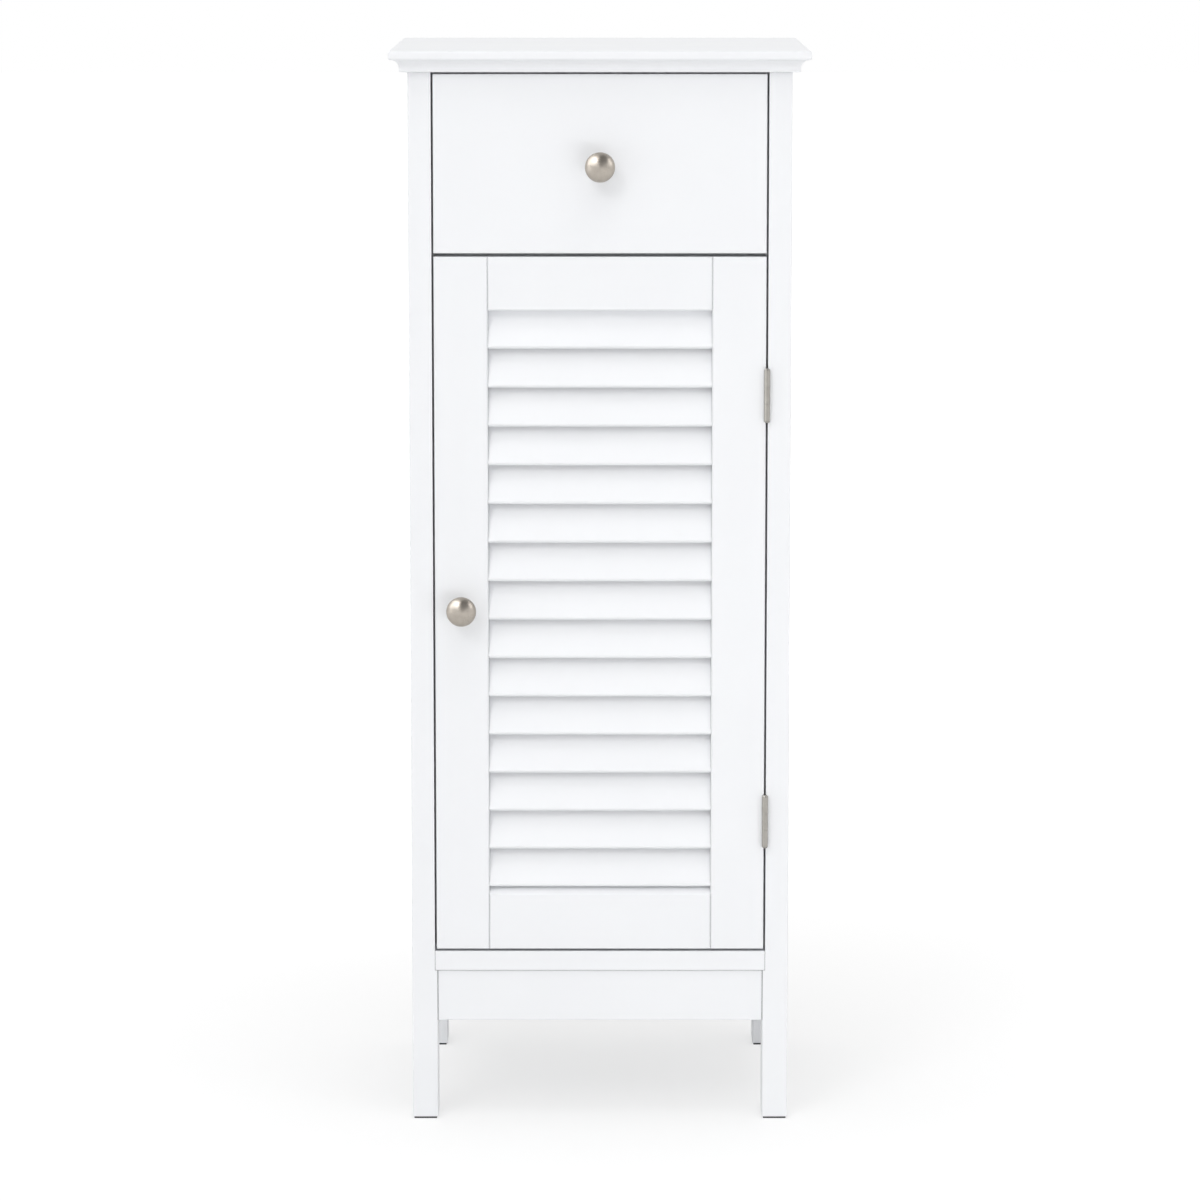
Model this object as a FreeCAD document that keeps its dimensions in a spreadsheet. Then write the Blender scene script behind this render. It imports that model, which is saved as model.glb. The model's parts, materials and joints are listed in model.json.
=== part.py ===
import FreeCAD, Part
import math
import os
import re
import Sketcher

# Louvred door cabinet: one drawer over one louvred door, on four square posts.
# Frame: +X to the right, -Y to the front, +Z up. The origin is on the floor, under the
# middle of the whole cabinet from the back of the top board to the front of the knobs.

# Driving dimensions in millimetres.
SIZES = {
    # top board and its routed edge
    "top_width": 335,
    "top_depth": 300,
    "top_thickness": 17,
    "total_height": 870,
    "nose_overhang": 14.5,
    "nose_radius": 1.8,
    "cove_radius": 6.4,
    "lip_height": 3.4,
    "lip_radius": 1.2,
    # posts and their glides
    "post_width": 20.5,
    "post_depth": 38,
    "rebate_width": 2,
    "stop_gap": 1,
    "arris_radius": 0.8,
    "glide_thickness": 1.6,
    "glide_inset": 1,
    # boards of the carcass
    "apron_clearance": 82,
    "apron_height": 42,
    "apron_thickness": 15,
    "apron_setback": 2,
    "bottom_thickness": 16,
    "side_thickness": 15,
    "divider_thickness": 15,
    "top_rail_height": 17,
    "back_thickness": 3,
    "back_inset": 8,
    "back_groove": 6,
    "fit_clearance": 0.1,
    # shelf on pins
    "shelf_thickness": 15,
    "shelf_level": 272,
    "shelf_setback": 4,
    "shelf_gap": 1,
    "pin_diameter": 5,
    "pin_length": 16,
    "pin_depth": 9,
    "pin_margin": 9.5,
    "pin_spacing": 32,
    "pin_rows": 5,
    # door
    "door_thickness": 18,
    "side_gap": 1.6,
    "sill_gap": 2,
    "drawer_door_gap": 2.8,
    "stile_width": 43,
    "upper_rail_height": 43,
    "lower_rail_height": 45,
    "seam_bevel": 1.1,
    # louvre slats
    "louvre_count": 15,
    "louvre_overlap": 1.5,
    "louvre_thickness": 5.5,
    "louvre_setback": 0.6,
    "louvre_edge_radius": 1.8,
    "louvre_sill_gap": 5.5,
    "louvre_housing": 6,
    # drawer
    "head_gap": 1.6,
    "drawer_front_height": 142.4,
    "drawer_front_thickness": 18,
    "drawer_side_thickness": 12,
    "drawer_side_height": 105,
    "drawer_rear_gap": 21.5,
    "drawer_side_gap": 1.5,
    "drawer_lift": 5,
    "drawer_bottom_thickness": 3,
    "drawer_bottom_rise": 6,
    "drawer_bottom_groove": 5,
    "runner_height": 14,
    "runner_projection": 8.5,
    "runner_level": 46,
    "runner_play": 0.5,
    "stop_width": 30,
    "stop_thickness": 6,
    "stop_length": 42,
    "stop_engagement": 5,
    "stop_peg_diameter": 6,
    # knobs and their screws
    "knob_diameter": 24,
    "knob_projection": 24,
    "knob_base_diameter": 13,
    "knob_neck_diameter": 8.5,
    "knob_dome_height": 7.5,
    "knob_drop": 1.7,
    "knob_screw_diameter": 4,
    "knob_screw_head": 8.5,
    "knob_screw_head_height": 2.2,
    "knob_screw_head_round": 1.7,
    "knob_screw_grip": 10,
    "knob_rim_height": 1.5,
    "knob_neck_height": 9,
    "knob_flare_height": 5,
    # butt hinges
    "hinge_length": 41,
    "hinge_barrel_diameter": 4.8,
    "hinge_pin_diameter": 2.4,
    "hinge_cap_height": 1.5,
    "hinge_leaf_thickness": 0.9,
    "hinge_leaf_depth": 14,
    "hinge_leaf_gap": 0.3,
    "hinge_knuckle_gap": 0.15,
    "hinge_knuckles": 3,
    "hinge_face_gap": 0.3,
    "hinge_screw_spacing": 24,
    "hinge_screw_setback": 8,
    "hinge_below_top": 111,
    "hinge_above_sill": 106,
    # joints and fasteners inside the wood
    "dowel_diameter": 8,
    "dowel_length": 30,
    "post_dowel_inset": 12,
    "side_dowel_margin": 40,
    "rail_dowel_margin": 10,
    "small_dowel_diameter": 6,
    "small_dowel_length": 24,
    "drawer_dowel_margin": 21,
    "cam_diameter": 15,
    "cam_height": 12,
    "cam_reach": 24,
    "cam_margin": 70,
    "cam_slot_width": 1.6,
    "cam_slot_depth": 2,
    "bolt_diameter": 6,
    "bolt_shank_diameter": 4,
    "bolt_head_length": 3,
    "bolt_grip": 9,
    "screw_diameter": 3,
    "screw_length": 16,
    "screw_head_diameter": 5.6,
    "screw_head_height": 1.5,
    "back_screw_spacing": 140,
    "runner_screw_margin": 50,
    # magnetic catch
    "catch_width": 40,
    "catch_case_width": 22,
    "catch_height": 13,
    "catch_depth": 16,
    "catch_flange": 3,
    "catch_flange_depth": 10.5,
    "catch_gap": 0.4,
    "catch_screw_spacing": 31,
    "magnet_width": 16,
    "magnet_depth": 5,
    "magnet_proud": 0.6,
    "strike_width": 26,
    "strike_height": 11,
    "strike_thickness": 1,
}

# Places worked out from the driving dimensions.
HALF = "(top_width / 2 - nose_overhang)"
FRONT = "((nose_overhang + knob_projection - top_depth) / 2)"
BACK = "((top_depth - nose_overhang + knob_projection) / 2)"
UNDERSIDE = "(total_height - top_thickness)"
INNER = f"({HALF} - post_width)"
DOORWAY = f"({INNER} + rebate_width)"
REBATE_DEPTH = "(door_thickness + stop_gap)"
STOP_PLANE = f"({FRONT} + {REBATE_DEPTH})"
BACK_FACE = f"({BACK} - back_inset - back_thickness)"
APRON_TOP = "(apron_clearance + apron_height)"
CABINET_FLOOR = f"({APRON_TOP} + bottom_thickness)"
DRAWER_TOP = f"({UNDERSIDE} - head_gap)"
DRAWER_SILL = f"({DRAWER_TOP} - drawer_front_height)"
DOOR_TOP = f"({DRAWER_SILL} - drawer_door_gap)"
DOOR_SILL = f"({CABINET_FLOOR} + sill_gap)"
DOOR_HEIGHT = f"({DOOR_TOP} - {DOOR_SILL})"
DOOR_HALF = f"({DOORWAY} - side_gap)"
DOOR_BACK = f"({FRONT} + door_thickness)"
STILE_INNER = f"({DOOR_HALF} - stile_width)"
STILE_CENTRE = f"({DOOR_HALF} - stile_width / 2)"
LOUVRE_SILL = f"({DOOR_SILL} + lower_rail_height)"
LOUVRE_HEAD = f"({DOOR_TOP} - upper_rail_height)"
LOUVRE_PITCH = f"(({LOUVRE_HEAD} - {LOUVRE_SILL} - louvre_sill_gap) / louvre_count)"
LOUVRE_RISE = f"({LOUVRE_PITCH} + louvre_overlap)"
LOUVRE_TILT = f"atan((door_thickness - louvre_setback - louvre_thickness) / {LOUVRE_RISE})"
LOUVRE_DIP = f"(louvre_thickness * sin({LOUVRE_TILT}))"
RAIL_BEVEL = ("((louvre_sill_gap - stop_gap) * door_thickness"
              " / (louvre_setback + louvre_thickness))")
DIVIDER_SILL = f"(({DOOR_TOP} + {DRAWER_SILL} - divider_thickness) / 2)"
DIVIDER_TOP = f"({DIVIDER_SILL} + divider_thickness)"
KNOB_HEIGHT = f"(({DOOR_TOP} + {DOOR_SILL}) / 2 - knob_drop)"
DRAWER_BACK_OF_FRONT = f"({FRONT} + drawer_front_thickness)"
DRAWER_END = f"({BACK_FACE} - drawer_rear_gap)"
DRAWER_OUTER = f"({INNER} - drawer_side_gap)"
DRAWER_INNER = f"({DRAWER_OUTER} - drawer_side_thickness)"
DRAWER_FLOOR = f"({DIVIDER_TOP} + drawer_lift)"
DRAWER_RIM = f"({DRAWER_FLOOR} + drawer_side_height)"
DRAWER_BOTTOM = f"({DRAWER_FLOOR} + drawer_bottom_rise)"
DRAWER_KNOB_HEIGHT = f"({DRAWER_SILL} + drawer_front_height / 2 - knob_drop)"
RUNNER_SILL = f"({DIVIDER_TOP} + runner_level)"
TOP_RAIL_SILL = f"({UNDERSIDE} - top_rail_height)"
STOP_TOP = f"({TOP_RAIL_SILL} + stop_engagement)"
STRIKE_LEVEL = f"({DIVIDER_SILL} - catch_height / 2 - catch_flange / 4)"
HINGE_X = f"({DOORWAY} - side_gap / 2)"
HINGE_Y = f"({FRONT} - hinge_barrel_diameter / 2 - hinge_face_gap)"
HINGE_UPPER = f"({DOOR_TOP} - hinge_below_top)"
HINGE_LOWER = f"({DOOR_SILL} + hinge_above_sill)"
LEAF_INSET = "(hinge_leaf_thickness + hinge_leaf_gap / 2 - side_gap / 2)"
PIN_FRONT = f"({FRONT} + post_depth - pin_margin)"
PIN_REAR = f"({BACK} - post_depth + pin_margin)"
PIN_LEVEL = f"({CABINET_FLOOR} + shelf_level)"
SHELF_SILL = f"({PIN_LEVEL} + pin_diameter / 2)"

# A rounding never takes more than these shares of the wall that it is on.
COVE_SHARE = 0.6
NOSE_SHARE = 0.45
LIP_SHARE = 0.9
COVE = f"min(cove_radius; (top_thickness - lip_height) * {COVE_SHARE})"
NOSE_BAND = f"(top_thickness - lip_height - {COVE})"
NOSE_ROUND = f"min(nose_radius; {NOSE_BAND} * {NOSE_SHARE})"
LIP = f"(nose_overhang - {COVE} - {NOSE_ROUND})"
LIP_ROUND = f"min(lip_radius; lip_height * {LIP_SHARE})"
LOUVRE_ROUND = f"min(louvre_edge_radius; louvre_thickness * {NOSE_SHARE})"

CONVEX = "convex"
CONCAVE = "concave"
X_AXIS = FreeCAD.Vector(1, 0, 0)
Y_AXIS = FreeCAD.Vector(0, 1, 0)
Z_AXIS = FreeCAD.Vector(0, 0, 1)
MARGIN = 1.0        # how far a cutting tool runs past the face that it cuts
TOUCH = 1e-6        # two lengths closer than this are the same

doc = FreeCAD.newDocument("louvred_cabinet")
sheet = doc.addObject("Spreadsheet::Sheet", "Sizes")
nodes = []


def fill_sheet():
    """Write each driving dimension into its own named cell."""
    for row, (alias, size) in enumerate(SIZES.items(), 1):
        sheet.set(f"A{row}", str(size))
        sheet.setAlias(f"A{row}", alias)
    doc.recompute()


def from_sheet(formula):
    """A formula in plain size names, written with the sheet's own cell names."""
    return re.sub(r"[a-z]\w*", lambda word: in_sheet(word.group()), formula)


def in_sheet(word):
    return f"Sizes.{word}" if word in SIZES else word


def value(formula):
    """The present value of a formula, in millimetres or degrees."""
    return float(sheet.evalExpression(from_sheet(formula)))


def bind(item, prop, formula):
    item.setExpression(prop, from_sheet(formula))


def bind_place(item, place):
    for axis, formula in zip("xyz", place):
        bind(item, f"Placement.Base.{axis}", formula)


def turn(item, axis, formula):
    """Turn an object about its own origin by an angle that follows the sheet."""
    item.Placement = FreeCAD.Placement(FreeCAD.Vector(), FreeCAD.Rotation(axis, value(formula)))
    bind(item, "Placement.Rotation.Angle", formula)


def keep(item):
    """Count an object as a finished piece of the cabinet."""
    nodes.append(item)
    return item


# ---------------------------------------------------------------- sketches and features

def origin_plane(body, role):
    return next(item for item in body.Origin.OriginFeatures if item.Role == role)


def arc_between(start, end, radius, bend):
    """The short arc from start to end, and the ids of its start and end points."""
    chord = end - start
    rise = math.sqrt(max(radius ** 2 - (chord.Length / 2) ** 2, 0))
    aside = FreeCAD.Vector(-chord.y, chord.x, 0).normalize()
    middle = (start + end) / 2
    centre = middle + aside * (rise if bend == CONVEX else -rise)
    first, last = (start, end) if bend == CONVEX else (end, start)
    angles = [math.atan2(point.y - centre.y, point.x - centre.x) for point in (first, last)]
    if angles[1] < angles[0]:
        angles[1] += 2 * math.pi
    arc = Part.ArcOfCircle(Part.Circle(centre, Z_AXIS, radius), *angles)
    return arc, (1, 2) if bend == CONVEX else (2, 1)


def draw(body, plane, outline, level="0"):
    """A sketch of one closed outline, anticlockwise, whose corners follow the sheet.

    Each corner is (x, y), or (x, y, radius, bend) when an arc leads to the next corner.
    """
    sketch = body.newObject("Sketcher::SketchObject", "Outline")
    sketch.AttachmentSupport = [(origin_plane(body, plane), "")]
    sketch.MapMode = "FlatFace"
    bind(sketch, "AttachmentOffset.Base.z", level)
    corners = [FreeCAD.Vector(value(x), value(y), 0) for x, y, *bend in outline]
    ends = []
    for place, (x, y, *bend) in enumerate(outline):
        start, end = corners[place], corners[(place + 1) % len(corners)]
        line, ids = Part.LineSegment(start, end), (1, 2)
        if bend:
            line, ids = arc_between(start, end, value(bend[0]), bend[1])
        sketch.addGeometry(line, False)
        ends.append(ids)
    for place, (x, y, *bend) in enumerate(outline):
        after = (place + 1) % len(outline)
        join = Sketcher.Constraint("Coincident", place, ends[place][1], after, ends[after][0])
        sketch.addConstraint(join)
        dimension(sketch, "DistanceX", (-1, 1, place, ends[place][0]), x)
        dimension(sketch, "DistanceY", (-1, 1, place, ends[place][0]), y)
        if bend:
            dimension(sketch, "Radius", (place,), bend[0])
    return sketch


def dimension(sketch, kind, points, formula):
    number = sketch.addConstraint(Sketcher.Constraint(kind, *points, value(formula)))
    bind(sketch, f"Constraints[{number}]", formula)


def rectangle(x0, y0, x1, y1):
    return [(x0, y0), (x1, y0), (x1, y1), (x0, y1)]


def rounded_rectangle(x0, y0, x1, y1, radius):
    """A rectangle with its four corners rounded."""
    return [
        (f"{x0} + {radius}", y0),
        (f"{x1} - {radius}", y0, radius, CONVEX),
        (x1, f"{y0} + {radius}"),
        (x1, f"{y1} - {radius}", radius, CONVEX),
        (f"{x1} - {radius}", y1),
        (f"{x0} + {radius}", y1, radius, CONVEX),
        (x0, f"{y1} - {radius}"),
        (x0, f"{y0} + {radius}", radius, CONVEX),
    ]


def flipped(outline):
    """The mirror image of an outline about the upright axis, still anticlockwise."""
    count = len(outline)
    bends = [corner[2:] for corner in outline]
    image = []
    for place in reversed(range(count)):
        x, y = outline[place][:2]
        bend = bends[place - 1]
        image.append((f"-({x})", y, *bend))
    return image


def new_body(label, place=("0", "0", "0")):
    body = doc.addObject("PartDesign::Body", label)
    body.Label = label
    bind_place(body, place)
    return body


def pad(body, sketch, length, centred=False):
    feature = body.newObject("PartDesign::Pad", "Pad")
    feature.Profile = sketch
    feature.Midplane = centred
    bind(feature, "Length", length)
    doc.recompute()
    return feature


def pocket(body, sketch, length, centred=False, backwards=False):
    """Cut a sketch out of the body, and make sure that it took something away."""
    before = body.Shape.Volume
    feature = body.newObject("PartDesign::Pocket", "Pocket")
    feature.Profile = sketch
    feature.Midplane = centred
    feature.Reversed = backwards
    bind(feature, "Length", length)
    doc.recompute()
    if before - body.Shape.Volume < TOUCH:
        raise RuntimeError(f"a pocket of {body.Label} cuts nothing")
    return feature


def revolve(body, outline):
    """Spin an outline of (radius, height) corners about the body's Z axis."""
    sketch = draw(body, "XZ_Plane", outline)
    feature = body.newObject("PartDesign::Revolution", "Revolution")
    feature.Profile = sketch
    feature.ReferenceAxis = (sketch, ["V_Axis"])
    feature.Angle = 360
    doc.recompute()
    return feature


def work_edges(body, kind, prop, size, chosen):
    """Work the edges of a body that chosen picks, all to one size."""
    tip = body.Tip
    names = [f"Edge{n}" for n, edge in enumerate(tip.Shape.Edges, 1) if chosen(edge.BoundBox)]
    feature = body.newObject(f"PartDesign::{kind}", kind)
    feature.Base = (tip, names)
    bind(feature, prop, size)
    doc.recompute()
    return feature


def soften(body, chosen):
    """Round the edges of a body that chosen picks, with the arris radius."""
    return work_edges(body, "Fillet", "Radius", "arris_radius", chosen)


def bevel(body, chosen):
    """Take the edges of a body that chosen picks off at 45 degrees, so that a seam shows."""
    return work_edges(body, "Chamfer", "Size", "seam_bevel", chosen)


def on_front(box):
    """True for an edge in the body's own front plane."""
    return abs(box.YMin) < TOUCH and abs(box.YMax) < TOUCH


def beside(low, high, seam):
    """True for an edge that lies, from end to end, within a bevel of a seam."""
    reach = value("seam_bevel") + TOUCH
    return abs(low - seam) < reach and abs(high - seam) < reach


def ease_front(body, on_seam=None):
    """Round the front arrises of a body, and bevel those that on_seam picks instead."""
    if on_seam:
        bevel(body, lambda box: on_front(box) and on_seam(box))
    soften(body, lambda box: on_front(box) and not (on_seam and on_seam(box)))


# ---------------------------------------------------------------- primitives and booleans

def block(label, low, high):
    """A plain block between two corners."""
    box = doc.addObject("Part::Box", label)
    bind_place(box, low)
    for prop, near, far in zip(("Length", "Width", "Height"), low, high):
        bind(box, prop, f"({far}) - ({near})")
    return box


def rod(label, centre, axis, diameter, length):
    """A round rod that starts at centre and runs along +X, +Y or +Z."""
    cylinder = doc.addObject("Part::Cylinder", label)
    cylinder.Placement = FreeCAD.Placement(FreeCAD.Vector(), FreeCAD.Rotation(Z_AXIS, axis))
    bind_place(cylinder, centre)
    bind(cylinder, "Radius", f"({diameter}) / 2")
    bind(cylinder, "Height", length)
    return cylinder


def compound(label, items):
    group = doc.addObject("Part::Compound", label)
    group.Links = items
    return group


def fused(label, items):
    whole = doc.addObject("Part::MultiFuse", label)
    whole.Shapes = items
    return whole


def cut(label, base, tool):
    """A piece with the space of its tool taken out; the blank gives up its name."""
    base.Label = f"{label}_blank"
    piece = doc.addObject("Part::Cut", label)
    piece.Base = base
    piece.Tool = tool
    piece.Label = label
    return piece


def mirror(label, source):
    """The right-hand twin of a left-hand piece."""
    twin = doc.addObject("Part::Mirroring", label)
    twin.Source = source
    twin.Normal = X_AXIS
    twin.Label = label
    return twin


def both_sides(label, items):
    """Left-hand items and their twins on the right, as one group of solids."""
    left = compound(f"{label}_left", items)
    return compound(label, [left, mirror(f"{label}_right", left)])


def screw(label, head, axis, grow="0"):
    """A countersunk screw whose head faces back from head and whose shank runs along axis."""
    body = doc.addObject("Part::Cone", f"{label}_head")
    body.Placement = FreeCAD.Placement(FreeCAD.Vector(), FreeCAD.Rotation(Z_AXIS, axis))
    bind_place(body, head)
    bind(body, "Radius1", f"screw_head_diameter / 2 + {grow}")
    bind(body, "Radius2", f"screw_diameter / 2 + {grow}")
    bind(body, "Height", "screw_head_height")
    shank = rod(f"{label}_shank", head, axis, f"screw_diameter + 2 * {grow}", f"screw_length + {grow}")
    return fused(label, [body, shank])


# ---------------------------------------------------------------- pegs, screws and their bores

def moved(place, axis, shift):
    """A place moved along one axis by a formula."""
    return tuple(f"({p}) + ({shift}) * {int(step)}" for p, step in zip(place, axis))


def peg(label, middle, axis, diameter, length):
    """A round peg whose middle is at a place."""
    return rod(label, moved(middle, axis, f"-({length}) / 2"), axis, diameter, length)


def pegs(label, places, diameter, length):
    """Dowels with their middles at the places, and the bores that take them."""
    wood = []
    bores = []
    for number, (middle, axis) in enumerate(places, 1):
        wood.append(peg(f"{label}_{number}", middle, axis, diameter, length))
        bore_size = (f"{diameter} + fit_clearance", f"{length} + 2 * fit_clearance")
        bores.append(peg(f"{label}_bore_{number}", middle, axis, *bore_size))
    return wood, bores


def screws(label, places):
    """Screws with their heads at the places, and the holes that take them."""
    steel = []
    holes = []
    for number, (head, axis) in enumerate(places, 1):
        steel.append(screw(f"{label}_{number}", head, axis))
        holes.append(screw(f"{label}_hole_{number}", head, axis, "fit_clearance / 2"))
    return steel, holes


def carcass_dowels():
    """Left-hand dowels: post to top board, side panel, aprons and top rail."""
    post_middle = f"-({HALF} + {DOORWAY}) / 2"
    panel_middle = f"-({INNER} + side_thickness / 2)"
    front_seam = f"{FRONT} + post_depth"
    rear_seam = f"{BACK} - post_depth"
    places = [
        ((post_middle, f"{FRONT} + post_dowel_inset", UNDERSIDE), Z_AXIS),
        ((post_middle, f"{BACK} - post_dowel_inset", UNDERSIDE), Z_AXIS),
        ((f"-{INNER}", PIN_FRONT, f"{UNDERSIDE} - top_rail_height / 2"), X_AXIS),
    ]
    side_levels = (
        "apron_clearance + side_dowel_margin",
        f"{DIVIDER_SILL} - side_dowel_margin",
        f"{UNDERSIDE} - side_dowel_margin",
    )
    for level in side_levels:
        places.append(((panel_middle, front_seam, level), Y_AXIS))
        places.append(((panel_middle, rear_seam, level), Y_AXIS))
    apron_middle = "apron_setback + apron_thickness / 2"
    for level in ("apron_clearance + rail_dowel_margin", f"{APRON_TOP} - rail_dowel_margin"):
        places.append(((f"-{INNER}", f"{FRONT} + {apron_middle}", level), X_AXIS))
        places.append(((f"-{INNER}", f"{BACK} - ({apron_middle})", level), X_AXIS))
    return pegs("carcass_dowel", places, "dowel_diameter", "dowel_length")


def cam_fittings():
    """Left-hand cams and bolts that pull the bottom and the divider to the side panel."""
    cams = []
    bolts = []
    bores = []
    decks = ((APRON_TOP, "bottom_thickness"), (DIVIDER_SILL, "divider_thickness"))
    ends = (f"{FRONT} + cam_margin", f"{BACK} - cam_margin")
    number = 0
    for sill, thickness in decks:
        for depth in ends:
            number += 1
            level = f"{sill} + {thickness} / 2"
            centre = (f"-{INNER} + cam_reach", depth, sill)
            start = (f"-{INNER} - bolt_grip", depth, level)
            bore = rod(f"bolt_bore_{number}", start, X_AXIS, "bolt_diameter + 4 * fit_clearance",
                       "bolt_grip + cam_reach + bolt_diameter / 2")
            seat = rod(f"cam_bore_{number}", centre, Z_AXIS, "cam_diameter + fit_clearance",
                       "cam_height + fit_clearance")
            drum = rod(f"cam_drum_{number}", centre, Z_AXIS, "cam_diameter", "cam_height")
            slot = block(f"cam_slot_{number}",
                         (f"{centre[0]} - cam_diameter / 3", f"{depth} - cam_slot_width / 2",
                          f"{sill} - {MARGIN}"),
                         (f"{centre[0]} + cam_diameter / 3", f"{depth} + cam_slot_width / 2",
                          f"{sill} + cam_slot_depth"))
            cams.append(cut(f"cam_{number}", drum, compound(f"cam_cut_{number}", [bore, slot])))
            head = (f"-{INNER} + cam_reach - bolt_head_length / 2", depth, level)
            bolts.append(fused(f"bolt_{number}", [
                rod(f"bolt_thread_{number}", start, X_AXIS, "bolt_diameter", "bolt_grip"),
                rod(f"bolt_shank_{number}", start, X_AXIS, "bolt_shank_diameter",
                    "bolt_grip + cam_reach"),
                rod(f"bolt_head_{number}", head, X_AXIS, "bolt_diameter", "bolt_head_length"),
            ]))
            bores += [bore, seat]
    return cams, bolts, bores


# ---------------------------------------------------------------- carcass

def router_outline(start):
    """The space a router takes off an edge: past a rounded nose, a cove and a small lip."""
    nose = f"({start} + nose_overhang)"
    fillet = f"({nose} - {NOSE_ROUND})"
    lip = f"({start} + {LIP})"
    shoulder = f"({UNDERSIDE} + lip_height + {COVE})"
    top = "total_height"
    return [
        (fillet, top, NOSE_ROUND, CONCAVE),
        (nose, f"{top} - {NOSE_ROUND}"),
        (nose, f"{shoulder} + {NOSE_ROUND}", NOSE_ROUND, CONCAVE),
        (fillet, shoulder, COVE, CONVEX),
        (lip, f"{UNDERSIDE} + lip_height"),
        (lip, f"{UNDERSIDE} + {LIP_ROUND}", LIP_ROUND, CONCAVE),
        (f"{lip} - {LIP_ROUND}", UNDERSIDE),
        (f"{lip} - {LIP_ROUND}", f"{UNDERSIDE} - {MARGIN}"),
        (f"{nose} + {MARGIN}", f"{UNDERSIDE} - {MARGIN}"),
        (f"{nose} + {MARGIN}", f"{top} + {MARGIN}"),
        (fillet, f"{top} + {MARGIN}"),
    ]


def top_panel(bores):
    """Top board, with its routed edge along the front and both ends."""
    edge = f"({HALF} + nose_overhang)"
    body = new_body("top_panel")
    plan = rectangle(f"-{edge}", f"{FRONT} - nose_overhang", edge, BACK)
    pad(body, draw(body, "XY_Plane", plan, UNDERSIDE), "top_thickness")
    end = router_outline(HALF)
    front = flipped(router_outline(f"-{FRONT}"))
    pocket(body, draw(body, "XZ_Plane", end), "4 * top_depth", centred=True)
    pocket(body, draw(body, "XZ_Plane", flipped(end)), "4 * top_depth", centred=True)
    pocket(body, draw(body, "YZ_Plane", front), "4 * top_width", centred=True)
    keep(cut("top_panel", body, bores))


def posts(bores, hinge_tools):
    """Four posts that run down as legs; the front pair is rebated for door and drawer."""
    height = f"({UNDERSIDE} - glide_thickness)"
    base = f"({APRON_TOP} - glide_thickness)"
    section = rounded_rectangle("0", "0", "post_width", "post_depth", "arris_radius")
    front = new_body("post_front_left", (f"-{HALF}", FRONT, "glide_thickness"))
    pad(front, draw(front, "XY_Plane", section), height)
    rebate = rectangle("post_width - rebate_width", f"-{MARGIN}",
                       f"post_width + {MARGIN}", REBATE_DEPTH)
    pocket(front, draw(front, "XY_Plane", rebate, base), height, backwards=True)
    rear = new_body("post_rear_left", (f"-{HALF}", f"{BACK} - post_depth", "glide_thickness"))
    pad(rear, draw(rear, "XY_Plane", section), height)
    groove = rectangle("post_width - back_groove - fit_clearance",
                       "post_depth - back_inset - back_thickness - fit_clearance",
                       f"post_width + {MARGIN}",
                       "post_depth - back_inset + fit_clearance")
    pocket(rear, draw(rear, "XY_Plane", groove, base), height, backwards=True)
    left = keep(cut("post_front_left", front, bores))
    keep(cut("post_front_right", mirror("post_front_right", left), hinge_tools))
    keep(mirror("post_rear_right", keep(cut("post_rear_left", rear, bores))))


def glides():
    """Thin pads under the four feet."""
    pads = []
    for name, front in (("front", FRONT), ("rear", f"({BACK} - post_depth)")):
        body = new_body(f"glide_{name}", (f"-{HALF}", front, "0"))
        outline = rounded_rectangle("glide_inset", "glide_inset", "post_width - glide_inset",
                                    "post_depth - glide_inset", "arris_radius")
        pad(body, draw(body, "XY_Plane", outline), "glide_thickness")
        pads.append(body)
    keep(both_sides("glides", pads))


def side_panels(bores):
    """Side boards between the posts, flush with them inside."""
    low = (f"-({INNER} + side_thickness)", f"{FRONT} + post_depth", "apron_clearance")
    high = (f"-{INNER}", f"{BACK} - post_depth", UNDERSIDE)
    keep(mirror("side_panel_right", keep(cut("side_panel_left", block("side", low, high), bores))))


def bottom_panel(bores):
    """Cabinet floor, whose front strip fills the rebates of the posts."""
    depth = f"({BACK_FACE} - {FRONT})"
    body = new_body("bottom_panel", ("0", FRONT, APRON_TOP))
    plan = [
        (f"-{DOORWAY}", "0"),
        (DOORWAY, "0"),
        (DOORWAY, REBATE_DEPTH),
        (INNER, REBATE_DEPTH),
        (INNER, depth),
        (f"-{INNER}", depth),
        (f"-{INNER}", REBATE_DEPTH),
        (f"-{DOORWAY}", REBATE_DEPTH),
    ]
    pad(body, draw(body, "XY_Plane", plan), "bottom_thickness")
    soften(body, on_front)
    keep(cut("bottom_panel", body, bores))


def fronted_board(label, place, width, depth, height, on_seam=None):
    """A board from a corner, with the arrises of its front face eased."""
    body = new_body(label, place)
    pad(body, draw(body, "XY_Plane", rectangle("0", "0", width, depth)), height)
    ease_front(body, on_seam)
    return body


def aprons(bores):
    """Rails that carry the cabinet floor between the posts."""
    place = (f"-{INNER}", f"{FRONT} + apron_setback", "apron_clearance")
    front = fronted_board("front_apron", place, f"2 * {INNER}", "apron_thickness", "apron_height")
    keep(cut("front_apron", front, bores))
    low = (f"-{INNER}", f"{BACK} - apron_setback - apron_thickness", "apron_clearance")
    high = (INNER, f"{BACK} - apron_setback", APRON_TOP)
    keep(cut("rear_apron", block("rear", low, high), bores))


def inner_boards(bores):
    """Divider between drawer and door, rail over the drawer, and the thin back."""
    divider = block("divider", (f"-{INNER}", STOP_PLANE, DIVIDER_SILL),
                    (INNER, BACK_FACE, DIVIDER_TOP))
    keep(cut("divider_panel", divider, bores))
    rail = block("rail", (f"-{INNER}", STOP_PLANE, TOP_RAIL_SILL),
                 (INNER, f"{FRONT} + post_depth", UNDERSIDE))
    keep(cut("top_rail", rail, bores))
    edge = f"({INNER} + back_groove)"
    back = block("back", (f"-{edge}", BACK_FACE, APRON_TOP),
                 (edge, f"{BACK_FACE} + back_thickness", UNDERSIDE))
    keep(cut("back_panel", back, bores))


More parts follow.
